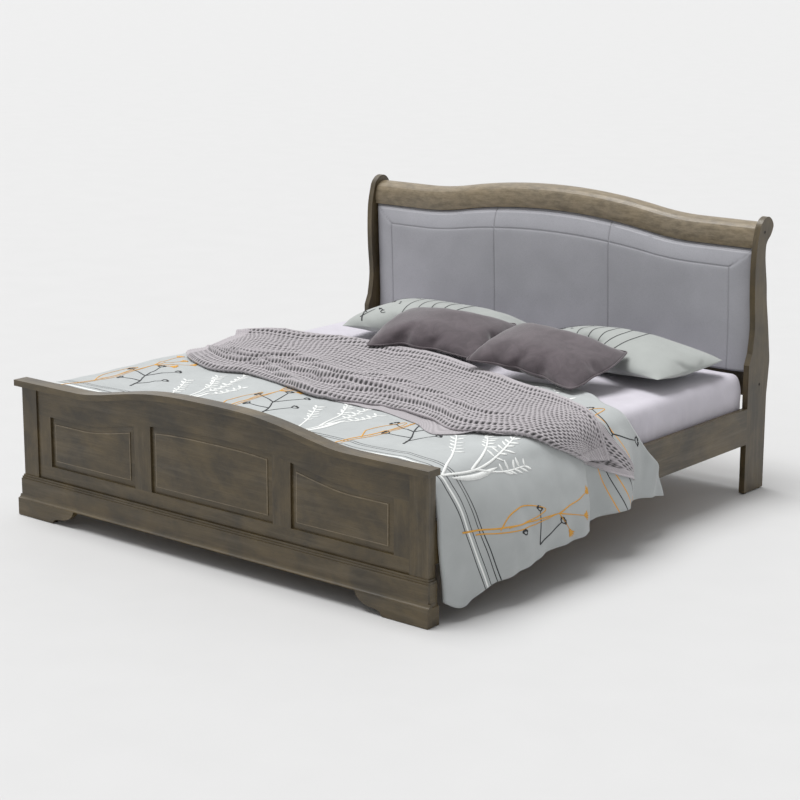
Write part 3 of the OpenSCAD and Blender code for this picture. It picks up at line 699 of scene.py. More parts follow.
# ---- Hardware, slats and plywood ----

class BED_OT_base(bpy.types.Operator):
    """Finishes the slats, ledgers, centre rail, plywood, steelwork and glides"""
    bl_idname = "bed.base"
    bl_label = "Base and hardware"

    def execute(self, context):
        pine_x, pine_y = raw_softwood("Planed_pine_X", 0), raw_softwood("Planed_pine_Y", 1)
        steel, black = plated_steel(), black_steel()
        plastic = moulded_plastic()
        finishes = [
            (["slats"], pine_x, 2.5), (["ledger_left", "ledger_right", "center_rail"], pine_y, 2),
            (["headboard_pad_board"], plywood(), 0.8),
            (["rail_brackets", "center_rail_hangers"], steel, 0.5),
            (["ledger_screws", "bracket_bolts", "slat_screws"], steel, 0.3),
            (["headboard_bolts"], black, 0.4), (["leg_levellers", "foot_glides"], plastic, 0.8),
        ]
        for names, material, rounding in finishes:
            for name in names:
                part = bpy.data.objects[name]
                give(part, material)
                round_edges(part, rounding * MM)
        return {"FINISHED"}


# ---- Headboard upholstery ----

def head_crown(x):
    """Height of the headboard's crown above its ends: an arc that runs into a reverse arc."""
    reach = 720 * MM
    angle = 2 * math.atan(HEAD_RISE / reach)
    both = reach / math.sin(angle)
    top, side = 0.7 * both, 0.3 * both
    x = np.abs(np.asarray(x, float))
    middle = HEAD_RISE - top + np.sqrt(np.maximum(top ** 2 - x * x, 0))
    flank = side - np.sqrt(np.maximum(side ** 2 - np.maximum(reach - x, 0) ** 2, 0))
    return np.where(x < top * math.sin(angle), middle, flank)


class BED_OT_headboard(bpy.types.Operator):
    """Upholsters the headboard: a padded field in three parts with a mitred, sewn border"""
    bl_idname = "bed.headboard"
    bl_label = "Headboard pad"

    def execute(self, context):
        settings = context.scene.bed_upholstery
        half = PAD_HI.x
        low = PAD_LO.z
        end_top = PAD_HI.z - HEAD_RISE
        border, roll, seam = settings.border, settings.roll, settings.seam
        side_seam = half - 1.3 * border
        uprights = (-303 * MM, 303 * MM)
        xs = stations(-half, half, 9 * MM, (-side_seam, side_seam, *uprights), 1.6 * MM)
        xs = np.unique(np.concatenate([xs, -half + np.linspace(0, roll, 9),
                                       half - np.linspace(0, roll, 9)]))
        tall = end_top - low
        heights = stations(0, tall, 9 * MM, (tall - border,), 1.6 * MM)
        heights = np.unique(np.concatenate([heights, tall - np.linspace(0, roll, 9)]))
        x, up = np.meshgrid(xs, heights, indexing="ij")
        share = up / tall
        z = low + share * (tall + head_crown(x))
        to_top = tall - up
        to_side = half - np.abs(x)
        edge = np.minimum(to_top, to_side)
        # The foam is crowned: full in the middle and rolled in at the top and sides.
        curl = 1 - np.sqrt(np.maximum(0, 1 - (1 - np.minimum(edge, roll) / roll) ** 2))
        slope = np.clip(1 - edge / (1.25 * border), 0, 1) ** 1.7
        depth = curl * 12 * MM + slope * 24 * MM
        corner = np.abs((np.abs(x) - side_seam) - (up - (tall - border)) * 1.3) / 1.64
        beyond = (np.abs(x) > side_seam) & (up > tall - border)
        inside_x = np.abs(x) <= side_seam + seam
        inside_z = up <= tall - border + seam
        lines = [np.where(inside_x, np.abs(up - (tall - border)), 1.0),
                 np.where(inside_z, np.abs(np.abs(x) - side_seam), 1.0),
                 np.where(beyond, corner, 1.0)]
        lines += [np.abs(x - at) for at in uprights]
        near = np.minimum.reduce(lines)
        groove = np.exp(-(near / (seam / 2.2)) ** 2)
        puff = 1 - np.exp(-near / (26 * MM))
        depth += groove * 2.2 * MM + (1 - puff) * 1.2 * MM
        depth += 0.9 * MM * ripples(x, z, 0.22, 5) * puff
        # Small puckers of the cover where the seams draw it in.
        depth += 0.5 * MM * np.exp(-near / (14 * MM)) * np.sin((x + z) * 2 * math.pi / 0.021)
        front = through([(0, 82), (0.15, 84), (0.4, 80), (0.7, 72), (0.88, 69), (1, 70)],
                        (z - low) / (PAD_HI.z - low)) * MM
        face_y = BED_HEAD + 5 * MM + front - 36 * MM
        y = face_y + np.minimum(depth, 34 * MM)
        cover = np.stack([x, y, z], -1)
        nu, nv = x.shape
        back = cover.copy()
        back[..., 1] = face_y + 35 * MM
        points = np.concatenate([cover.reshape(-1, 3), back.reshape(-1, 3)])
        faces = grid_faces(nu, nv)
        total = nu * nv
        faces += [[a + total for a in f][::-1] for f in grid_faces(nu, nv)]
        loop = ([(i, 0) for i in range(nu)] + [(nu - 1, j) for j in range(1, nv)]
                + [(i, nv - 1) for i in range(nu - 2, -1, -1)]
                + [(0, j) for j in range(nv - 2, 0, -1)])
        ids = [i * nv + j for i, j in loop]
        faces += [[a, b, b + total, a + total] for a, b in zip(ids, ids[1:] + ids[:1])]
        pad = new_object("upholstered_headboard_pad", points, faces,
                         leatherette(settings))
        # The seam value paints shade into the seams' grooves.
        point_value(pad, "seam", np.concatenate([groove.ravel(), np.zeros(total)]))
        face_outwards(pad)
        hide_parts("headboard_pad")
        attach(pad, "root")
        return {"FINISHED"}


# ---- Mattress ----

class BED_OT_mattress(bpy.types.Operator):
    """Makes the mattress in its fitted sheet, with rounded edges and drawn corners"""
    bl_idname = "bed.mattress"
    bl_label = "Mattress and sheet"

    def execute(self, context):
        settings = context.scene.bed_bedding
        # The quilted sides and head end swell a little beyond the mattress's nominal size.
        swell_side, swell_end, swell_head = 24 * MM, 2 * MM, 28 * MM
        lo, hi = MATTRESS_LO, MATTRESS_HI + Vector((0, swell_head, 0))
        centre = (lo + hi) / 2
        half_x, half_y = (hi.x - lo.x) / 2 + swell_side, (hi.y - lo.y) / 2 + swell_end
        corner, step = 34 * MM, 16 * MM
        # Section: inset from the side, height above the underside, both in millimetres
        tall = (hi.z - lo.z) / MM
        side = [(240, 1), (60, 1), (26, 2), (10, 9), (2, 24), (0, 60), (0, tall / 2),
                (0, tall - 74), (4, tall - 44), (13, tall - 21), (27, tall - 8), (48, tall - 2),
                (90, tall), (200, tall), (420, tall), (880, tall)]
        section = path_through(side, 96)
        turns = []
        straight = (half_x - corner, half_y - corner)
        for quarter in range(4):
            sx, sy = ((1, -1), (1, 1), (-1, 1), (-1, -1))[quarter]
            start = quarter * math.pi / 2 - math.pi / 2
            for a in np.linspace(start, start + math.pi / 2, 13):
                turns.append((sx * straight[0], sy * straight[1], math.cos(a), math.sin(a)))
        line = []
        for (ax, ay, ac, as_), (bx, by, bc, bs) in zip(turns, turns[1:] + turns[:1]):
            gap = math.hypot(bx - ax, by - ay)
            steps = max(1, round(gap / step))
            for k in range(steps):
                t = k / steps
                line.append((ax + (bx - ax) * t, ay + (by - ay) * t,
                             ac + (bc - ac) * t, as_ + (bs - as_) * t))
        line = np.array(line)
        rings = []
        for inset, height in section:
            reach = np.maximum(corner - inset * MM, 0)
            pull = np.minimum(0, corner - inset * MM)
            px = line[:, 0] + line[:, 2] * reach + np.sign(line[:, 0]) * np.minimum(
                0, pull) * (np.abs(line[:, 0]) / straight[0])
            py = line[:, 1] + line[:, 3] * reach + np.sign(line[:, 1]) * np.minimum(
                0, pull) * (np.abs(line[:, 1]) / straight[1])
            z = np.full(len(line), lo.z + height * MM)
            along = np.arange(len(line)) * step
            on_side = smoothstep(6, 30, height) * (1 - smoothstep(tall - 60, tall - 6, height))
            drawn = 1.6 * MM * ripples(along, z, 0.11, 3, 0.5) * on_side
            px, py = px + line[:, 2] * drawn, py + line[:, 3] * drawn
            flat = smoothstep(tall - 30, tall, height)
            z = z + 1.4 * MM * ripples(px, py, 0.35, 8) * flat
            # The elastic hem gathers the sheet under the mattress.
            hem = bump(height, 6, 9) * (inset < 40)
            z = z + hem * 1.2 * MM * np.sin(along * 2 * math.pi / 0.028)
            rings.append(np.stack([px + centre.x, py + centre.y, z], -1))
        rings = np.array(rings)
        faces = ring_faces(*rings.shape[:2])
        uv = rings[..., :2] + np.stack([0 * rings[..., 2], rings[..., 2]], -1)
        obj = new_object("mattress_in_fitted_sheet", rings, faces,
                         woven_cotton("Washed_lilac_cotton", settings.sheet,
                                      thread=3 * MM, roughness=0.8), uv=uv)
        face_outwards(obj)
        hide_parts("mattress")
        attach(obj, "root")
        return {"FINISHED"}


# ---- The surface that the duvet lies on ----

# Right half of the duvet's section, from the bed's centre to below its hem: across and up
DRAPE = [(0, 523), (500, 523), (880, 523), (940, 521), (972, 513), (997, 492), (1013, 455),
         (1027, 410), (1035, 362), (1037, 300), (1040, 230), (1045, 150), (1053, 40)]
SPLAY = 0.35   # how far the cloth leans towards the head as it falls down the side
EDGE = 0.97    # where the top turns down to the side, measured over the cloth


def drape_section():
    """Places across, heights and normals of the duvet's section at even steps over it."""
    line = path_through(np.array(DRAPE) * MM, 600)
    step = np.gradient(line, axis=0)
    step /= np.linalg.norm(step, axis=1)[:, None]
    run = np.concatenate([[0], np.cumsum(np.linalg.norm(np.diff(line, axis=0), axis=1))])
    return run, line, np.stack([-step[:, 1], step[:, 0]], 1)


RUN, SECTION, SECTION_NORMAL = drape_section()


def side_folds(s, y, side):
    """How far the cloth stands out from the section: soft waves on top, folds on the side."""
    down = smoothstep(0.95, 1.30, np.abs(s))
    flat = 1 - smoothstep(0.85, 1.0, np.abs(s))
    shift = -0.25 * (np.abs(s) - 1.2)
    lean = 0.25 * (np.abs(s) - 1.2)
    belly = smoothstep(0.02, 0.34, y) * (1 - smoothstep(0.78, 0.85, y + 0.3 * lean))
    right = (0.066 * belly - 0.024 * bump(y, 0.50 + lean, 0.055) * smoothstep(1.2, 1.4, s)
             + 0.012 * bump(y, 0.72, 0.04) + 0.072 * bump(y, 1.05 - lean, 0.085)
             + 0.024 * bump(y, 1.31 - 2 * lean, 0.045) + 0.014 * bump(y, 0.09, 0.04)
             - 0.012 * bump(y, 0.20 + lean, 0.035))
    left = (0.020 * bump(y, 0.22, 0.09) + 0.030 * bump(y, 0.50 + shift, 0.08)
            + 0.016 * bump(y, 0.78, 0.10) + 0.028 * bump(y, 1.05 - shift, 0.07)
            + 0.014 * bump(y, 1.28, 0.06))
    folds = np.where(side > 0, right, left) * down
    folds = folds + 3.5 * MM * ripples(s + 0.5 * y, 2.2 * y, 0.2, 77) * down
    soft = ripples(s, y, 0.42, 11) * 0.5 + 0.5
    crease = np.clip(ripples(s, y, 0.24, 23, 1.7), -1, 1)
    crease = (1 - np.abs(crease)) ** 3
    top = flat * (8 * MM * soft + 3.5 * MM * crease)
    edge_wave = 2.5 * MM * bump(np.abs(s), EDGE, 0.06) * ripples(y, 0 * y, 0.18, 31)
    return folds + top + edge_wave


def duvet_point(s, c, lift=0.0):
    """Place of the cloth at s across and c along it, raised by lift. c is measured from the
    foot of the mattress and leans towards the head on the sides."""
    s, c = np.broadcast_arrays(np.asarray(s, float), np.asarray(c, float))
    y = c + SPLAY * np.maximum(0, np.abs(s) - EDGE)
    return surface_point(s, y, lift)


def surface_point(s, y, lift=0.0):
    """Place over the bed at s across the duvet and y from the mattress's foot."""
    s, y = np.broadcast_arrays(np.asarray(s, float), np.asarray(y, float))
    away = np.abs(s)
    x = np.interp(away, RUN, SECTION[:, 0])
    z = np.interp(away, RUN, SECTION[:, 1])
    nx = np.interp(away, RUN, SECTION_NORMAL[:, 0])
    nz = np.interp(away, RUN, SECTION_NORMAL[:, 1])
    out = side_folds(s, y, np.sign(s)) + lift
    return np.stack([np.sign(s) * (x + nx * out), y + BED_FOOT, z + nz * out], -1)


# Height of the hem above the floor, and place of the head edge, along and over the cloth
HEM = [(0, 76), (45, 50), (170, 84), (400, 120), (780, 158), (1000, 180), (1200, 174),
       (1380, 140)]
HEAD_EDGE = [(0, 1260), (700, 1260), (800, 1240), (935, 1150), (1000, 1160), (1080, 1200),
             (1180, 1285), (1300, 1355), (1450, 1400)]
HEM_LENGTH = 1.34      # from the foot corner to the head corner of the hem
FOOT_LEAN = 0.012      # how far the foot edge swings towards the head at the hem


class BED_OT_duvet(bpy.types.Operator):
    """Drapes the duvet over the mattress and both sides of the bed"""
    bl_idname = "bed.duvet"
    bl_label = "Duvet"

    def execute(self, context):
        settings = context.scene.bed_bedding
        ink = {"k": settings.print_black, "w": settings.print_white,
               "o": settings.print_ochre}
        # Printed lines across the duvet: millimetres from its foot edge, and their ink
        lines = [(30, "k"), (45, "w"), (65, "k"), (100, "k"), (115, "k"), (860, "o"), (895, "k"),
                 (925, "o"), (965, "k"), (1000, "k"), (1020, "o")]
        broad, thin = 8 * MM, 4.5 * MM
        stripes = [(at * MM, broad if tone == "w" else thin, ink[tone]) for at, tone in lines]
        share, reach = np.meshgrid(np.linspace(-1, 1, 300), np.linspace(0, 1, 150),
                                   indexing="ij")
        hem_z = through(np.array(HEM) * MM, reach * HEM_LENGTH)
        s_hem = np.interp(-hem_z, -SECTION[:, 1], RUN)
        s = share * s_hem
        head = through(np.array(HEAD_EDGE) * MM, np.abs(s))
        foot = FOOT_LEAN * smoothstep(1.10, 1.45, np.abs(s))
        place_y = foot + reach * (head - foot)
        points = surface_point(s, place_y)
        c = place_y - SPLAY * np.maximum(0, np.abs(s) - EDGE)
        uv = np.stack([s, c], -1)
        obj = new_object("duvet_cover", points, grid_faces(*s.shape),
                         woven_cotton("Printed_grey_cotton", settings.duvet, stripes), uv=uv)
        thicken(obj, settings.duvet_thickness)
        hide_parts("duvet")
        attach(obj, "root")
        prints = print_sprigs(settings)
        return {"FINISHED"}


# ---- Printed sprigs ----

def stroke(points, width, shape="taper"):
    """A drawn line: its points over the cloth and its width along them. shape is taper, leaf
    or dot."""
    line = np.array(points, float)
    run = np.sum(np.linalg.norm(np.diff(line, axis=0), axis=1))
    line = path_through(line, max(4, round(run / (7 * MM)) + 1)) if len(line) > 2 else \
        np.linspace(line[0], line[-1], max(5, round(run / (7 * MM)) + 1))
    t = np.linspace(0, 1, len(line))
    widths = {"taper": 1 - 0.45 * t, "leaf": np.sin(math.pi * np.clip(t, 0.04, 0.97)) ** 0.7,
              "dot": np.sqrt(np.maximum(0.02, 1 - (2 * t - 1) ** 2))}[shape]
    return line, widths * width


def turned(points, origin, angle, scale=1.0):
    """Points of a sprig, turned by angle, scaled and set at its origin on the cloth."""
    c, s = math.cos(angle), math.sin(angle)
    p = np.array(points, float) * scale
    return np.stack([origin[0] + c * p[:, 0] - s * p[:, 1],
                     origin[1] + s * p[:, 0] + c * p[:, 1]], 1)


def dot(at, size):
    return stroke([(at[0] - size / 2, at[1]), (at[0] + size / 2, at[1])], size, "dot")


def leafy_branch(rng):
    """Three bending stems from one foot, bare below and with pairs of small leaves above."""
    marks = []
    stems = ([(0, 0), (0.035, 0.15), (0.03, 0.34), (-0.01, 0.54)],
             [(0.03, 0.13), (0.0, 0.28), (-0.09, 0.46)], [(0, 0), (-0.05, 0.16), (-0.14, 0.34)],
             [(0.035, 0.15), (0.08, 0.25), (0.10, 0.36)])
    for line, count in zip(stems, (8, 6, 5, 4)):
        marks.append(stroke(line, 9 * MM))
        spine = path_through(line, 2 * count + 1)[count:]
        for x, y in spine:
            for side in (-1, 1):
                size = rng.uniform(24, 40) * MM
                a = side * rng.uniform(0.5, 1.0) - 0.2
                tip = (x + size * math.sin(a), y + size * math.cos(a))
                marks.append(stroke([(x, y), tip], rng.uniform(9, 14) * MM, "leaf"))
    marks.append(stroke([(0.02, 0.03), (0.05, 0.12), (0.06, 0.24)], 22 * MM, "leaf"))
    return marks


def budded_stem(rng):
    """Two long stems side by side that fork into four buds, with one looped leaf. Nothing in
    it is random, so rng goes unused."""
    marks = [stroke([(0, 0), (0.015, 0.20), (0.02, 0.48)], 7 * MM),
             stroke([(0.02, 0.06), (0.035, 0.24), (0.02, 0.48)], 5 * MM)]
    loop = [(0.02, 0.16), (-0.03, 0.24), (-0.035, 0.36), (-0.01, 0.42), (0.01, 0.34),
            (0.02, 0.20)]
    marks.append(stroke(loop, 5 * MM))
    for lean, run in ((-0.25, 0.19), (0.25, 0.13), (0.85, 0.15), (1.2, 0.08)):
        tip = (0.02 + run * math.sin(lean), 0.48 + run * math.cos(lean))
        marks.append(stroke([(0.02, 0.48), tip], 5 * MM))
        marks.append(dot(tip, 18 * MM))
        for k in range(5):
            a = lean + (k - 2) * 0.42
            end = (tip[0] + 26 * MM * math.sin(a), tip[1] + 26 * MM * math.cos(a))
            marks.append(stroke([tip, end], 8 * MM, "leaf"))
    return marks


def seed_heads(rng):
    """Thin stems that part from one foot, each ending in an open cup of seeds."""
    marks = [stroke([(0, 0), (0.01, 0.10), (0, 0.22)], 8 * MM)]
    stems = [((0, 0.22), (-0.10, 0.34)), ((0, 0.22), (0.02, 0.40)), ((0, 0.22), (0.12, 0.31)),
             ((0, 0.05), (0.11, 0.14)), ((0.005, 0.12), (-0.10, 0.18))]
    for foot, head in stems:
        bend = ((foot[0] + head[0]) / 2 + rng.uniform(-12, 12) * MM, (foot[1] + head[1]) / 2)
        marks.append(stroke([foot, bend, head], 6 * MM))
        a0 = math.atan2(head[1] - foot[1], head[0] - foot[0])
        r = rng.uniform(13, 18) * MM
        centre = (head[0] + r * math.cos(a0), head[1] + r * math.sin(a0))
        cup = [(centre[0] + r * math.cos(a0 + a), centre[1] + r * math.sin(a0 + a))
               for a in np.linspace(math.pi - 2.3, math.pi + 2.3, 9)]
        marks.append(stroke(cup, 6 * MM))
        for k in range(4):
            a = a0 + (k - 1.5) * 0.55
            seed = (head[0] + 1.5 * r * math.cos(a), head[1] + 1.5 * r * math.sin(a))
            marks.append(dot(seed, rng.uniform(10, 15) * MM))
    return marks


def print_object(name, marks, place, material, thickness=0.5 * MM):
    """One mesh of flat strokes; place maps points over the cloth to points in space."""
    points, faces = [], []
    for line, width in marks:
        step = np.gradient(line, axis=0)
        step /= np.maximum(np.linalg.norm(step, axis=1), 1e-9)[:, None]
        across = np.stack([-step[:, 1], step[:, 0]], 1) * width[:, None] / 2
        band = np.stack([line - across, line, line + across], 1)
        first = sum(len(p) for p in points)
        points.append(place(band[..., 0], band[..., 1]).reshape(-1, 3))
        faces += grid_faces(len(line), 3, first)
    obj = new_object(name, np.concatenate(points), faces, material)
    thicken(obj, thickness)
    return obj


def inside_cloth(line):
    """Whether a stroke lies on the duvet, clear of its hems."""
    s, c = line[:, 0], line[:, 1]
    y = c + SPLAY * np.maximum(0, np.abs(s) - EDGE)
    hem = np.interp(-through(np.array(HEM) * MM, y), -SECTION[:, 1], RUN)
    head = through(np.array(HEAD_EDGE) * MM, np.abs(s))
    clear = 12 * MM
    return bool(np.all((np.abs(s) < hem - clear) & (y > clear) & (y < head - clear)))


def print_sprigs(settings):
    """Rows of white, ochre and black sprigs across the duvet; gives back the pieces."""
    rng = np.random.default_rng(7)
    # Each kind of sprig: how far from the row's place, how far along, its turn and its size
    kinds = {"white": (leafy_branch, -0.20, 0.05, 0.12, 1.08),
             "ochre": (budded_stem, 0.0, 0.015, -0.03, 1.02),
             "black": (seed_heads, 0.215, 0.19, 0.50, 0.85)}
    # Sprigs repeat across the duvet; the second row starts further along and to the left.
    first, pitch, row_shift, row_pitch = 1.2, 0.69, -0.27, 0.66
    pieces = []
    for name, (draw, shift, start, lean, size) in kinds.items():
        marks = []
        for row in (0, 1):
            for k in range(5):
                at = (first - k * pitch + shift + row_shift * row, start + row_pitch * row)
                angle = lean + rng.uniform(-0.05, 0.05)
                for line, width in draw(rng):
                    line = turned(line, at, angle, size)
                    if inside_cloth(line):
                        marks.append((line, width))
        lift = settings.duvet_thickness / 2 + 0.7 * MM
        tone = getattr(settings, "print_" + name)
        piece = print_object("duvet_print_" + name, marks,
                             lambda s, c: duvet_point(s, c, lift),
                             printed_ink("Printed_" + name + "_pigment", tone))
        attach(piece, "root")
        pieces.append(piece)
    return pieces


# ---- Knitted throw ----

PLAN_START = -68 * MM   # where the throw's plan starts, measured from the mattress's foot

# Plan over the cloth, from the left end to the hanging end: (across, along) in millimetres.
# The folded edge on the foot side, and the upper layer's free edge on the head side.
FOLD_LINE = [(-880, 790), (-790, 725), (-600, 655), (-460, 680), (-240, 645), (50, 580),
             (200, 615), (410, 620), (600, 570), (765, 510), (850, 560), (980, 660),
             (1040, 760), (1105, 880)]
HEAD_LINE = [(-965, 1205), (-850, 1285), (-690, 1355), (-480, 1405), (-190, 1400), (50, 1360),
             (310, 1270), (730, 1135), (960, 1040), (1040, 1020), (1130, 1025)]
# The lower layer's free edge runs just past the upper one's, and fans out where it hangs.
PEEK = 8
LOWER_LINE = [(x, y + PEEK) for x, y in HEAD_LINE[:-3]]
LOWER_LINE += [(890, 1100), (975, 1060), (1025, 1075), (1245, 1205)]
# Free edge of the lower layer's border where it peeks out, and where it tucks under
STRIP_LINE = [(60, 600), (230, 590), (410, 570), (560, 520), (750, 430), (820, 520),
              (905, 590), (975, 670)]
STRIP_ROOT = [(60, 640), (400, 680), (650, 650), (850, 640), (930, 650), (990, 700)]


def knit_height(u, v, pitch):
    """Relief of the knit: how deep in a hole each place is, and the ribs between the holes.
    u runs along the throw and v across it."""
    row = v / (1.3 * pitch)
    a = (u / pitch + 0.5 * (np.floor(row) % 2)) % 1 - 0.5
    b = row % 1 - 0.5
    hole = np.exp(-(np.abs(a / 0.31) ** 3 + np.abs(b / 0.34) ** 3))
    return hole, 0.2 * (0.5 - 0.5 * np.cos(2 * math.pi * a))


def ridge(v, middle, gentle):
    """A fold that rises steeply on its foot side and runs out gently on its head side."""
    steep = 0.026
    behind = np.maximum(0, v - middle)
    return smoothstep(middle - steep, middle + 0.3 * steep, v) * np.exp(-(behind / gentle) ** 2)


# Long folds of the throw: start and drift across it, both as shares of its width, how gently
# they run out, height in millimetres, and where they begin and end along it
FOLDS = [(0.00, 0.02, 0.07, 24, -0.3, 0.52), (0.13, 0.14, 0.07, 26, 0.02, 0.66),
         (0.28, 0.18, 0.08, 20, 0.10, 0.55), (0.24, -0.20, 0.06, 20, 0.35, 0.9),
         (0.55, -0.30, 0.09, 13, 0.40, 0.93)]


def long_folds(v, t):
    """Height of the long folds at v across the throw and t along it, both as shares."""
    total = 0
    for start, drift, gentle, tall, begin, end in FOLDS:
        middle = start + drift * t + 0.020 * np.sin(2 * math.pi * (1.7 * t + 3 * start))
        seen = smoothstep(begin - 0.04, begin + 0.10, t)
        seen = seen * (1 - smoothstep(end - 0.22, end, t))
        total = total + tall * MM * seen * ridge(v, middle, gentle)
    return total


def plan_line(points, rows):
    return path_through(np.array(points) * MM, rows)[:, None]


class BED_OT_throw(bpy.types.Operator):
    """Knits the throw and lays it folded in two across the bed and over its right side"""
    bl_idname = "bed.throw"
    bl_label = "Knitted throw"

    def execute(self, context):
        settings = context.scene.bed_bedding
        base = settings.duvet_thickness / 2
        wide, length, rows = 0.60, 2.25, 560
        fold, head = plan_line(FOLD_LINE, rows), plan_line(HEAD_LINE, rows)
        # The upper layer starts behind the fold, and further behind it at the left end.
        behind = 15 * MM + 110 * MM * (1 - smoothstep(-0.68, -0.06, fold[..., 0]))
        inner = fold + np.stack([0 * behind, behind], -1)
        upper_v = np.linspace(0, 1, 150)
        lower_v = np.concatenate([np.linspace(0, 0.08, 10), np.linspace(0.12, 0.80, 18),
                                  np.linspace(0.82, 1, 40)])
        band = np.linspace(0, 1, 26)[:-1, None]
        upper = inner + (head - inner) * upper_v[:, None]
        upper = np.concatenate([fold + (inner - fold) * band, upper], 1)
        lower = fold + (plan_line(LOWER_LINE, rows) - fold) * lower_v[:, None]
        u = np.linspace(0, length, rows)[:, None]
        # How far each place of the upper layer is from the fold, over the cloth
        shelf = np.linalg.norm(inner - fold, axis=2)
        upper_run = np.concatenate([shelf * band[:, 0], shelf + wide * upper_v], 1)

        def layer(plan, across, is_lower):
            far = across[:, -1:]
            t = u / u[-1]
            folds = long_folds((across - shelf) / wide, t)
            # The fold is a soft roll: both layers meet halfway at its edge.
            roll = np.sqrt(np.clip(1 - (1 - np.minimum(across / 0.018, 1)) ** 2, 0, 1))
            half = 9 * MM
            lift = base + 3 * MM + half + (-1 if is_lower else 1) * half * roll
            if not is_lower:
                lift = lift + folds * roll * (0.3 + 0.7 * smoothstep(0, 0.05, t))
                lift = lift + (9 + 12 * (1 - t)) * MM * bump(far - across, 0.03, 0.035)
            lift = lift + 2 * MM * ripples(u, across, 0.3, 41)
            # The stitches keep their size where the cloth climbs a fold.
            climb = np.hypot(np.diff(across, axis=1), np.diff(lift, axis=1))
            run = np.concatenate([across[:, :1], across[:, :1] + np.cumsum(climb, 1)], 1)
            # Hand knitting is never quite even.
            loose = 3 * MM * ripples(u, across, 0.16, 61)
            hole, ribs = knit_height(u + loose, run + loose, settings.stitch)
            from_end = np.minimum(u, u[-1] - u)
            border = 1 - smoothstep(0.050, 0.056, from_end) * smoothstep(0.026, 0.032,
                                                                         far - across)
            ribbed = 0.5 + 0.5 * np.cos(2 * math.pi * across / 0.013)
            knit = (1 - border) * (1 - hole - ribs) + border * (0.55 + 0.3 * ribbed)
            lift = lift + 10 * MM * (knit - 0.7) * (0.3 if is_lower else 1.0)
            # The free edges and ends stand a little proud where they curl.
            curl = bump(far - across, 0, 0.012) + bump(from_end, 0, 0.012)
            lift = lift + 3 * MM * np.minimum(1, curl)
            points = surface_point(plan[..., 0], plan[..., 1] + PLAN_START, lift)
            # Painted shade for the material: nearly black deep in the holes of the knit, none on
            # the border.
            dark = (1 - border) * np.clip(2.6 * hole - 0.12, 0, 1)
            flat = np.stack([u + 0 * across, (-1 if is_lower else 1) * across + 0 * u], -1)
            return points, dark, flat

        top, top_hole_shade, top_flat = layer(upper, upper_run, False)
        low, low_hole_shade, low_flat = layer(lower, wide * lower_v[None, :] + 0 * u, True)
        points = np.concatenate([low[:, ::-1][:, :-1], top], 1)
        hole = np.concatenate([low_hole_shade[:, ::-1][:, :-1], top_hole_shade], 1)
        flat = np.concatenate([low_flat[:, ::-1][:, :-1], top_flat], 1)
        obj = new_object("knitted_throw", points, grid_faces(*points.shape[:2]),
                         knitted_acrylic(settings), uv=flat)
        # The material paints shade into the holes by this value.
        point_value(obj, "hole", hole)
        thicken(obj, 4.5 * MM)
        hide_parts("knit_throw")
        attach(obj, "root")
        strip = self.border_strip(base)
        return {"FINISHED"}

    def border_strip(self, base):
        """The ribbed border of the lower layer, where it peeks out on the foot side."""
        rows = 150
        strip, tucked = plan_line(STRIP_LINE, rows), plan_line(STRIP_ROOT, rows)
        v = np.linspace(0, 1, 26)[None, :, None]
        plan = tucked * (1 - v) + strip * v
        gap = np.linalg.norm(strip - tucked, axis=2)
        along = np.linspace(0, 0.95, rows)[:, None]
        across = v[..., 0] * gap
        ribbed = 0.5 + 0.5 * np.cos(2 * math.pi * across / 0.011)
        wave = bump(along, 0.80, 0.05) + 0.7 * bump(along, 0.92, 0.03)
        lift = base + 3 * MM + 1.6 * MM * ribbed + 14 * MM * wave * v[..., 0]
        lift = lift + 2 * MM * ripples(along, across, 0.12, 55) * v[..., 0]
        points = surface_point(plan[..., 0], plan[..., 1] + PLAN_START, lift)
        flat = np.stack([along + 0 * across, across], -1)
        obj = new_object("knitted_throw_border", points, grid_faces(*points.shape[:2]),
                         bpy.data.materials["Knitted_mauve_acrylic"], uv=flat)
        # Painted shade in the grooves between the ribs, through the same value as the knit's
        # holes.
        point_value(obj, "hole", 0.30 * (1 - ribbed))
        thicken(obj, 3 * MM)
        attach(obj, "root")
        return obj


# ---- Pillows and cushions ----

def calm(grid, rim, rounds=4):
    """Evens out the small buckles of a cloth grid, keeping its rim on that of the other cloth."""
    grid = grid.copy()
    for line in ((0, slice(None)), (-1, slice(None)), (slice(None), 0), (slice(None), -1)):
        edge = rim[line]
        for _ in range(3 * rounds):
            edge = np.concatenate([edge[:1], (edge[:-2] + 2 * edge[1:-1] + edge[2:]) / 4,
                                   edge[-1:]])
        grid[line] = edge
    for _ in range(rounds):
        around = grid[:-2, 1:-1] + grid[2:, 1:-1] + grid[1:-1, :-2] + grid[1:-1, 2:]
        grid[1:-1, 1:-1] = (grid[1:-1, 1:-1] + around / 4) / 2
    return grid


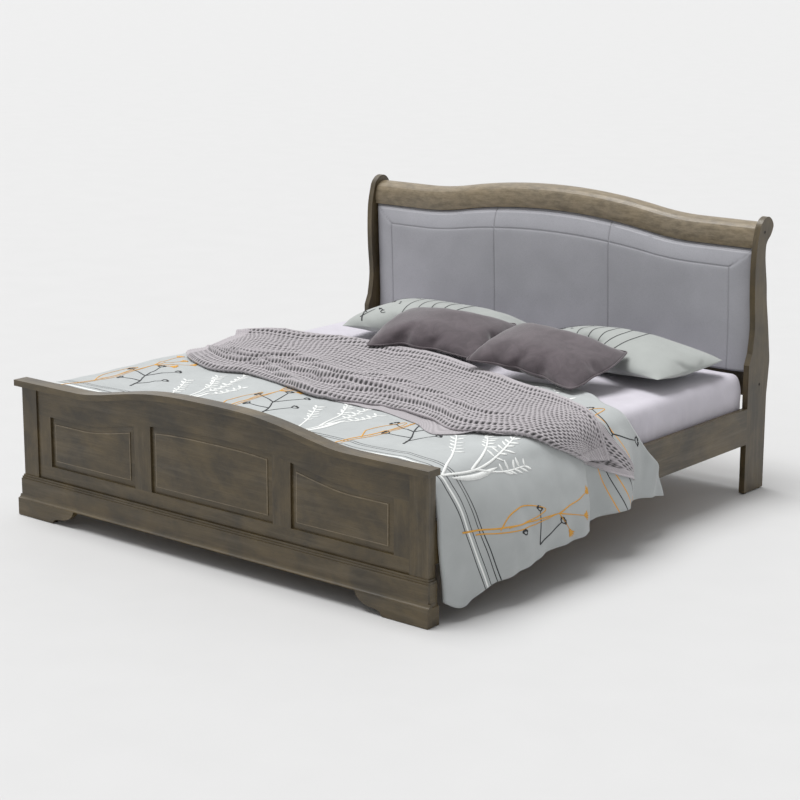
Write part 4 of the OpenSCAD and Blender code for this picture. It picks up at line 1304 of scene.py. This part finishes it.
def filled_case(size, seed, settings, steps, taper=0.095):
    """Two cloths sewn round their edge and filled. Gives back the upper and lower grids of
    points, centred on the seam, fitted to size."""
    wide, deep, tall = size
    step = 12.5 * MM
    nx, ny = round(wide / step) + 1, round(deep / step) + 1
    x, y = np.meshgrid(np.linspace(-wide / 2, wide / 2, nx),
                       np.linspace(-deep / 2, deep / 2, ny), indexing="ij")
    edge = np.minimum(np.minimum(x + wide / 2, wide / 2 - x),
                      np.minimum(y + deep / 2, deep / 2 - y))
    # The pattern is cut fuller along its sides, so that they fill out straight.
    x, y = (x * (1 - taper * (2 * y / deep) ** 2), y * (1 - taper * (2 * x / wide) ** 2))
    start = 5 * MM * smoothstep(0, 40 * MM, edge)
    start = start + 1.5 * MM * ripples(x, y, 0.12, seed) * smoothstep(0, 60 * MM, edge)
    inner = edge > 1e-6
    top = np.stack([x, y, start], -1)
    low_ids = np.full((nx, ny), -1)
    top_ids = np.arange(nx * ny).reshape(nx, ny)
    low_ids[~inner] = top_ids[~inner]
    low_ids[inner] = nx * ny + np.arange(inner.sum())
    low = top * [1, 1, -1]
    points = np.concatenate([top.reshape(-1, 3), low[inner]])
    faces = quads(top_ids).tolist() + quads(low_ids)[:, ::-1].tolist()
    case = new_object("cloth_case", points, faces, None)
    cloth = case.modifiers.new("Cloth", "CLOTH")
    cloth.settings.quality = 6
    cloth.settings.mass = 0.25
    cloth.settings.tension_stiffness = cloth.settings.compression_stiffness = 22
    cloth.settings.shear_stiffness = 9
    cloth.settings.bending_stiffness = 0.35
    cloth.settings.use_pressure = True
    cloth.settings.uniform_pressure_force = settings.pressure
    cloth.settings.effector_weights.gravity = 0
    cloth.collision_settings.use_collision = False
    cloth.point_cache.frame_start, cloth.point_cache.frame_end = 1, steps
    scene = bpy.context.scene
    for number in range(1, steps + 1):
        scene.frame_set(number)
    made = case.evaluated_get(bpy.context.evaluated_depsgraph_get()).to_mesh()
    moved = np.empty(len(made.vertices) * 3)
    made.vertices.foreach_get("co", moved)
    moved = moved.reshape(-1, 3)
    bpy.data.objects.remove(case)
    scene.frame_set(1)
    moved -= moved.mean(0) * [1, 1, 0]
    moved = np.concatenate([calm(moved[top_ids], moved[top_ids]).reshape(-1, 3),
                            calm(moved[low_ids], moved[top_ids])[inner]])
    spread = moved.max(0) - moved.min(0)
    moved *= [wide / spread[0], deep / spread[1], min(1, tall / spread[2])]
    # It lies on its lower side: the seam sinks below the middle, and the corners lowest.
    sag = 0.12 * tall * ((2 * x / wide) ** 4 + (2 * y / deep) ** 4) / 2
    up, low = moved[top_ids], moved[low_ids]
    up[..., 2], low[..., 2] = up[..., 2] * 1.25 - sag, low[..., 2] * 0.95 - sag
    return up, low


def settle(grid, place, turn, floor):
    """Turns and moves points to their place, pressed flat where they would sink below floor."""
    spin = np.array(Euler(turn).to_matrix())
    out = grid @ spin.T + place
    soft = 14 * MM
    over = out[..., 2] - floor
    out[..., 2] = floor + np.where(over > soft, over,
                                   soft * np.exp(np.clip(over / soft - 1, -9, 0)))
    return out


def sewn_case(name, node, size, place, turn, floor, material, seed, piping=None):
    """A filled case as one closed piece with its seam; gives back its upper grid."""
    bedding, stage = bpy.context.scene.bed_bedding, bpy.context.scene.bed_stage
    up, low = filled_case(size, seed, bedding, stage.frames)
    up, low = settle(up, place, turn, floor), settle(low, place, turn, floor)
    nx, ny = up.shape[:2]
    edge = np.zeros((nx, ny), bool)
    edge[[0, -1]] = edge[:, [0, -1]] = True
    low_ids = np.arange(nx * ny).reshape(nx, ny)
    low_ids[~edge] = nx * ny + np.arange((~edge).sum())
    points = np.concatenate([up.reshape(-1, 3), low[~edge]])
    faces = grid_faces(nx, ny) + quads(low_ids)[:, ::-1].tolist()
    flat = np.stack(np.meshgrid(np.linspace(0, size[0], nx), np.linspace(0, size[1], ny),
                                indexing="ij"), -1)
    uv = np.concatenate([flat.reshape(-1, 2), flat[~edge]])
    obj = new_object(name, points, faces, material, uv=uv)
    subdivide(obj)
    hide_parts(node)
    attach(obj, "root")
    if piping:
        loop = np.concatenate([up[:, 0], up[-1, 1:], up[-2::-1, -1], up[0, -2:0:-1]])
        welt = new_object(name + "_piping", *tube(loop, piping), material)
        face_outwards(welt)
        subdivide(welt)
        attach(welt, "root")
    return up


def over_grid(grid, size, lift):
    """Function that maps metres over a pillow's upper cloth to a point just above it."""
    nx, ny = grid.shape[:2]
    du, dv = np.gradient(grid, axis=(0, 1))
    normal = np.cross(du, dv)
    normal /= np.maximum(np.linalg.norm(normal, axis=-1), 1e-9)[..., None]

    def place(a, b):
        i = np.clip(a / size[0] * (nx - 1), 0, nx - 1.001)
        j = np.clip(b / size[1] * (ny - 1), 0, ny - 1.001)
        i0, j0 = i.astype(int), j.astype(int)
        fi, fj = (i - i0)[..., None], (j - j0)[..., None]

        def mix(field):
            return (field[i0, j0] * (1 - fi) * (1 - fj) + field[i0 + 1, j0] * fi * (1 - fj)
                    + field[i0, j0 + 1] * (1 - fi) * fj + field[i0 + 1, j0 + 1] * fi * fj)

        return mix(grid) + mix(normal) * lift

    return place


PILLOW = (800 * MM, 490 * MM, 162 * MM)
CUSHION = (540 * MM, 400 * MM, 120 * MM)


class BED_OT_pillows(bpy.types.Operator):
    """Fills and lays the two pillows, and prints small black sprigs and lines on them"""
    bl_idname = "bed.pillows"
    bl_label = "Pillows"

    def execute(self, context):
        settings = context.scene.bed_bedding
        cotton = woven_cotton("Printed_pale_cotton", settings.pillow)
        black = printed_ink("Printed_black_pillow_pigment", settings.print_black)
        rng = np.random.default_rng(19)
        for side, turn, seed in (("left", 2, 3), ("right", -3, 4)):
            node = "pillow_" + side
            lo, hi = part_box(node)
            centre = (lo + hi) / 2
            place = (centre.x, centre.y + 15 * MM, lo.z + 0.44 * PILLOW[2])
            grid = sewn_case("pillow_case_" + side, node, PILLOW, place,
                             (0, 0, math.radians(turn)), lo.z, cotton, seed)
            marks = []
            for at, scale in (((0.10, 0.04), 0.62), ((0.17, 0.24), 0.55), ((0.07, 0.27), 0.4)):
                for line, width in seed_heads(rng):
                    marks.append((turned(line, at, rng.uniform(-0.3, 0.3), scale), width * 0.8))
            for k in range(5):
                x = 0.28 + 0.055 * k
                marks.append(stroke([(x, 0.05), (x + 0.012, 0.25), (x, 0.44)], 3.2 * MM))
            piece = print_object("pillow_print_" + side, marks,
                                 over_grid(grid, PILLOW, 1.2 * MM), black, 0.4 * MM)
            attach(piece, "root")
        return {"FINISHED"}


class BED_OT_cushions(bpy.types.Operator):
    """Fills the two velvet cushions and leans them on the pillows"""
    bl_idname = "bed.cushions"
    bl_label = "Velvet cushions"

    def execute(self, context):
        settings = context.scene.bed_bedding
        cover = velvet(settings)
        for side, middle, tilt, roll, turn, seed in (
                ("left", (-0.115, 0.40, 0.622), 12, 1, 9, 5),
                ("right", (0.505, 0.285, 0.634), 13, 6, 1, 6)):
            sewn_case("velvet_cushion_" + side, "cushion_" + side, CUSHION, middle,
                      [math.radians(a) for a in (tilt, roll, turn)], 0.560, cover, seed,
                      piping=4 * MM)
        return {"FINISHED"}


# ---- Stage ----

class BED_OT_stage(bpy.types.Operator):
    """Sets the pale floor, the soft studio light and the camera"""
    bl_idname = "bed.stage"
    bl_label = "Stage"

    def execute(self, context):
        scene, settings = context.scene, context.scene.bed_stage
        size = 80.0
        floor = new_object("studio_floor", [(-size, -size, 0), (size, -size, 0), (size, size, 0),
                                            (-size, size, 0)], [[0, 1, 2, 3]], pale_floor())
        floor.location.z = -0.2 * MM
        light = bpy.data.lights.new("overhead_soft_light", "SUN")
        light.angle, light.energy = math.radians(38), settings.key
        lamp = bpy.data.objects.new("overhead_soft_light", light)
        lamp.location = (0, 0, 4)
        lamp.rotation_euler = (math.radians(7), math.radians(-15), 0)
        scene.collection.objects.link(lamp)
        world = bpy.data.worlds.new("studio_air")
        world.use_nodes = True
        tree = world.node_tree
        tree.nodes.clear()
        path = add(tree, "ShaderNodeLightPath").node
        seen = maths(tree, "MAXIMUM", path.outputs["Is Camera Ray"],
                     path.outputs["Is Glossy Ray"])
        air = add(tree, "ShaderNodeBackground", {"Color": (1, 1, 1, 1),
                                                 "Strength": settings.ambient})
        paper = add(tree, "ShaderNodeBackground", {"Color": (1, 1, 1, 1), "Strength": 1.0})
        both = add(tree, "ShaderNodeMixShader", {0: seen, 1: air, 2: paper})
        tree.links.new(both, tree.nodes.new("ShaderNodeOutputWorld").inputs["Surface"])
        scene.world = world
        scene.view_settings.view_transform = "Standard"
        camera = bpy.data.objects.new("camera", bpy.data.cameras.new("camera"))
        camera.location = (5.1615, -6.2925, 2.3984)
        camera.rotation_euler = (math.pi / 2 - 0.2268, 0, 0.6999)
        camera.data.lens = settings.lens
        camera.data.sensor_width = 36.0
        camera.data.shift_x, camera.data.shift_y = 0.03, -0.03
        scene.collection.objects.link(camera)
        scene.camera = camera
        return {"FINISHED"}


OPERATORS = (BED_OT_stage, BED_OT_wood, BED_OT_panels, BED_OT_base, BED_OT_headboard,
             BED_OT_mattress, BED_OT_duvet, BED_OT_throw, BED_OT_pillows, BED_OT_cushions)


class BED_PT_panel(bpy.types.Panel):
    """Lists the bed's pieces and their settings"""
    bl_idname = "BED_PT_panel"
    bl_label = "Sleigh bed"
    bl_space_type = "VIEW_3D"
    bl_region_type = "UI"
    bl_category = "Sleigh bed"

    def draw(self, context):
        column = self.layout.column(align=True)
        for made in OPERATORS:
            column.operator(made.bl_idname)
        for name, group in SETTINGS.items():
            box = self.layout.box()
            for prop in group.__annotations__:
                box.prop(getattr(context.scene, name), prop)


CLASSES = (*SETTINGS.values(), *OPERATORS, BED_PT_panel)


def register():
    for made in CLASSES:
        bpy.utils.register_class(made)
    for name, group in SETTINGS.items():
        setattr(bpy.types.Scene, name, PointerProperty(type=group))


def unregister():
    for name in SETTINGS:
        delattr(bpy.types.Scene, name)
    for made in reversed(CLASSES):
        bpy.utils.unregister_class(made)


def main():
    register()
    for made in OPERATORS:
        group, name = made.bl_idname.split(".")
        getattr(getattr(bpy.ops, group), name)()


if __name__ == "__main__":
    main()
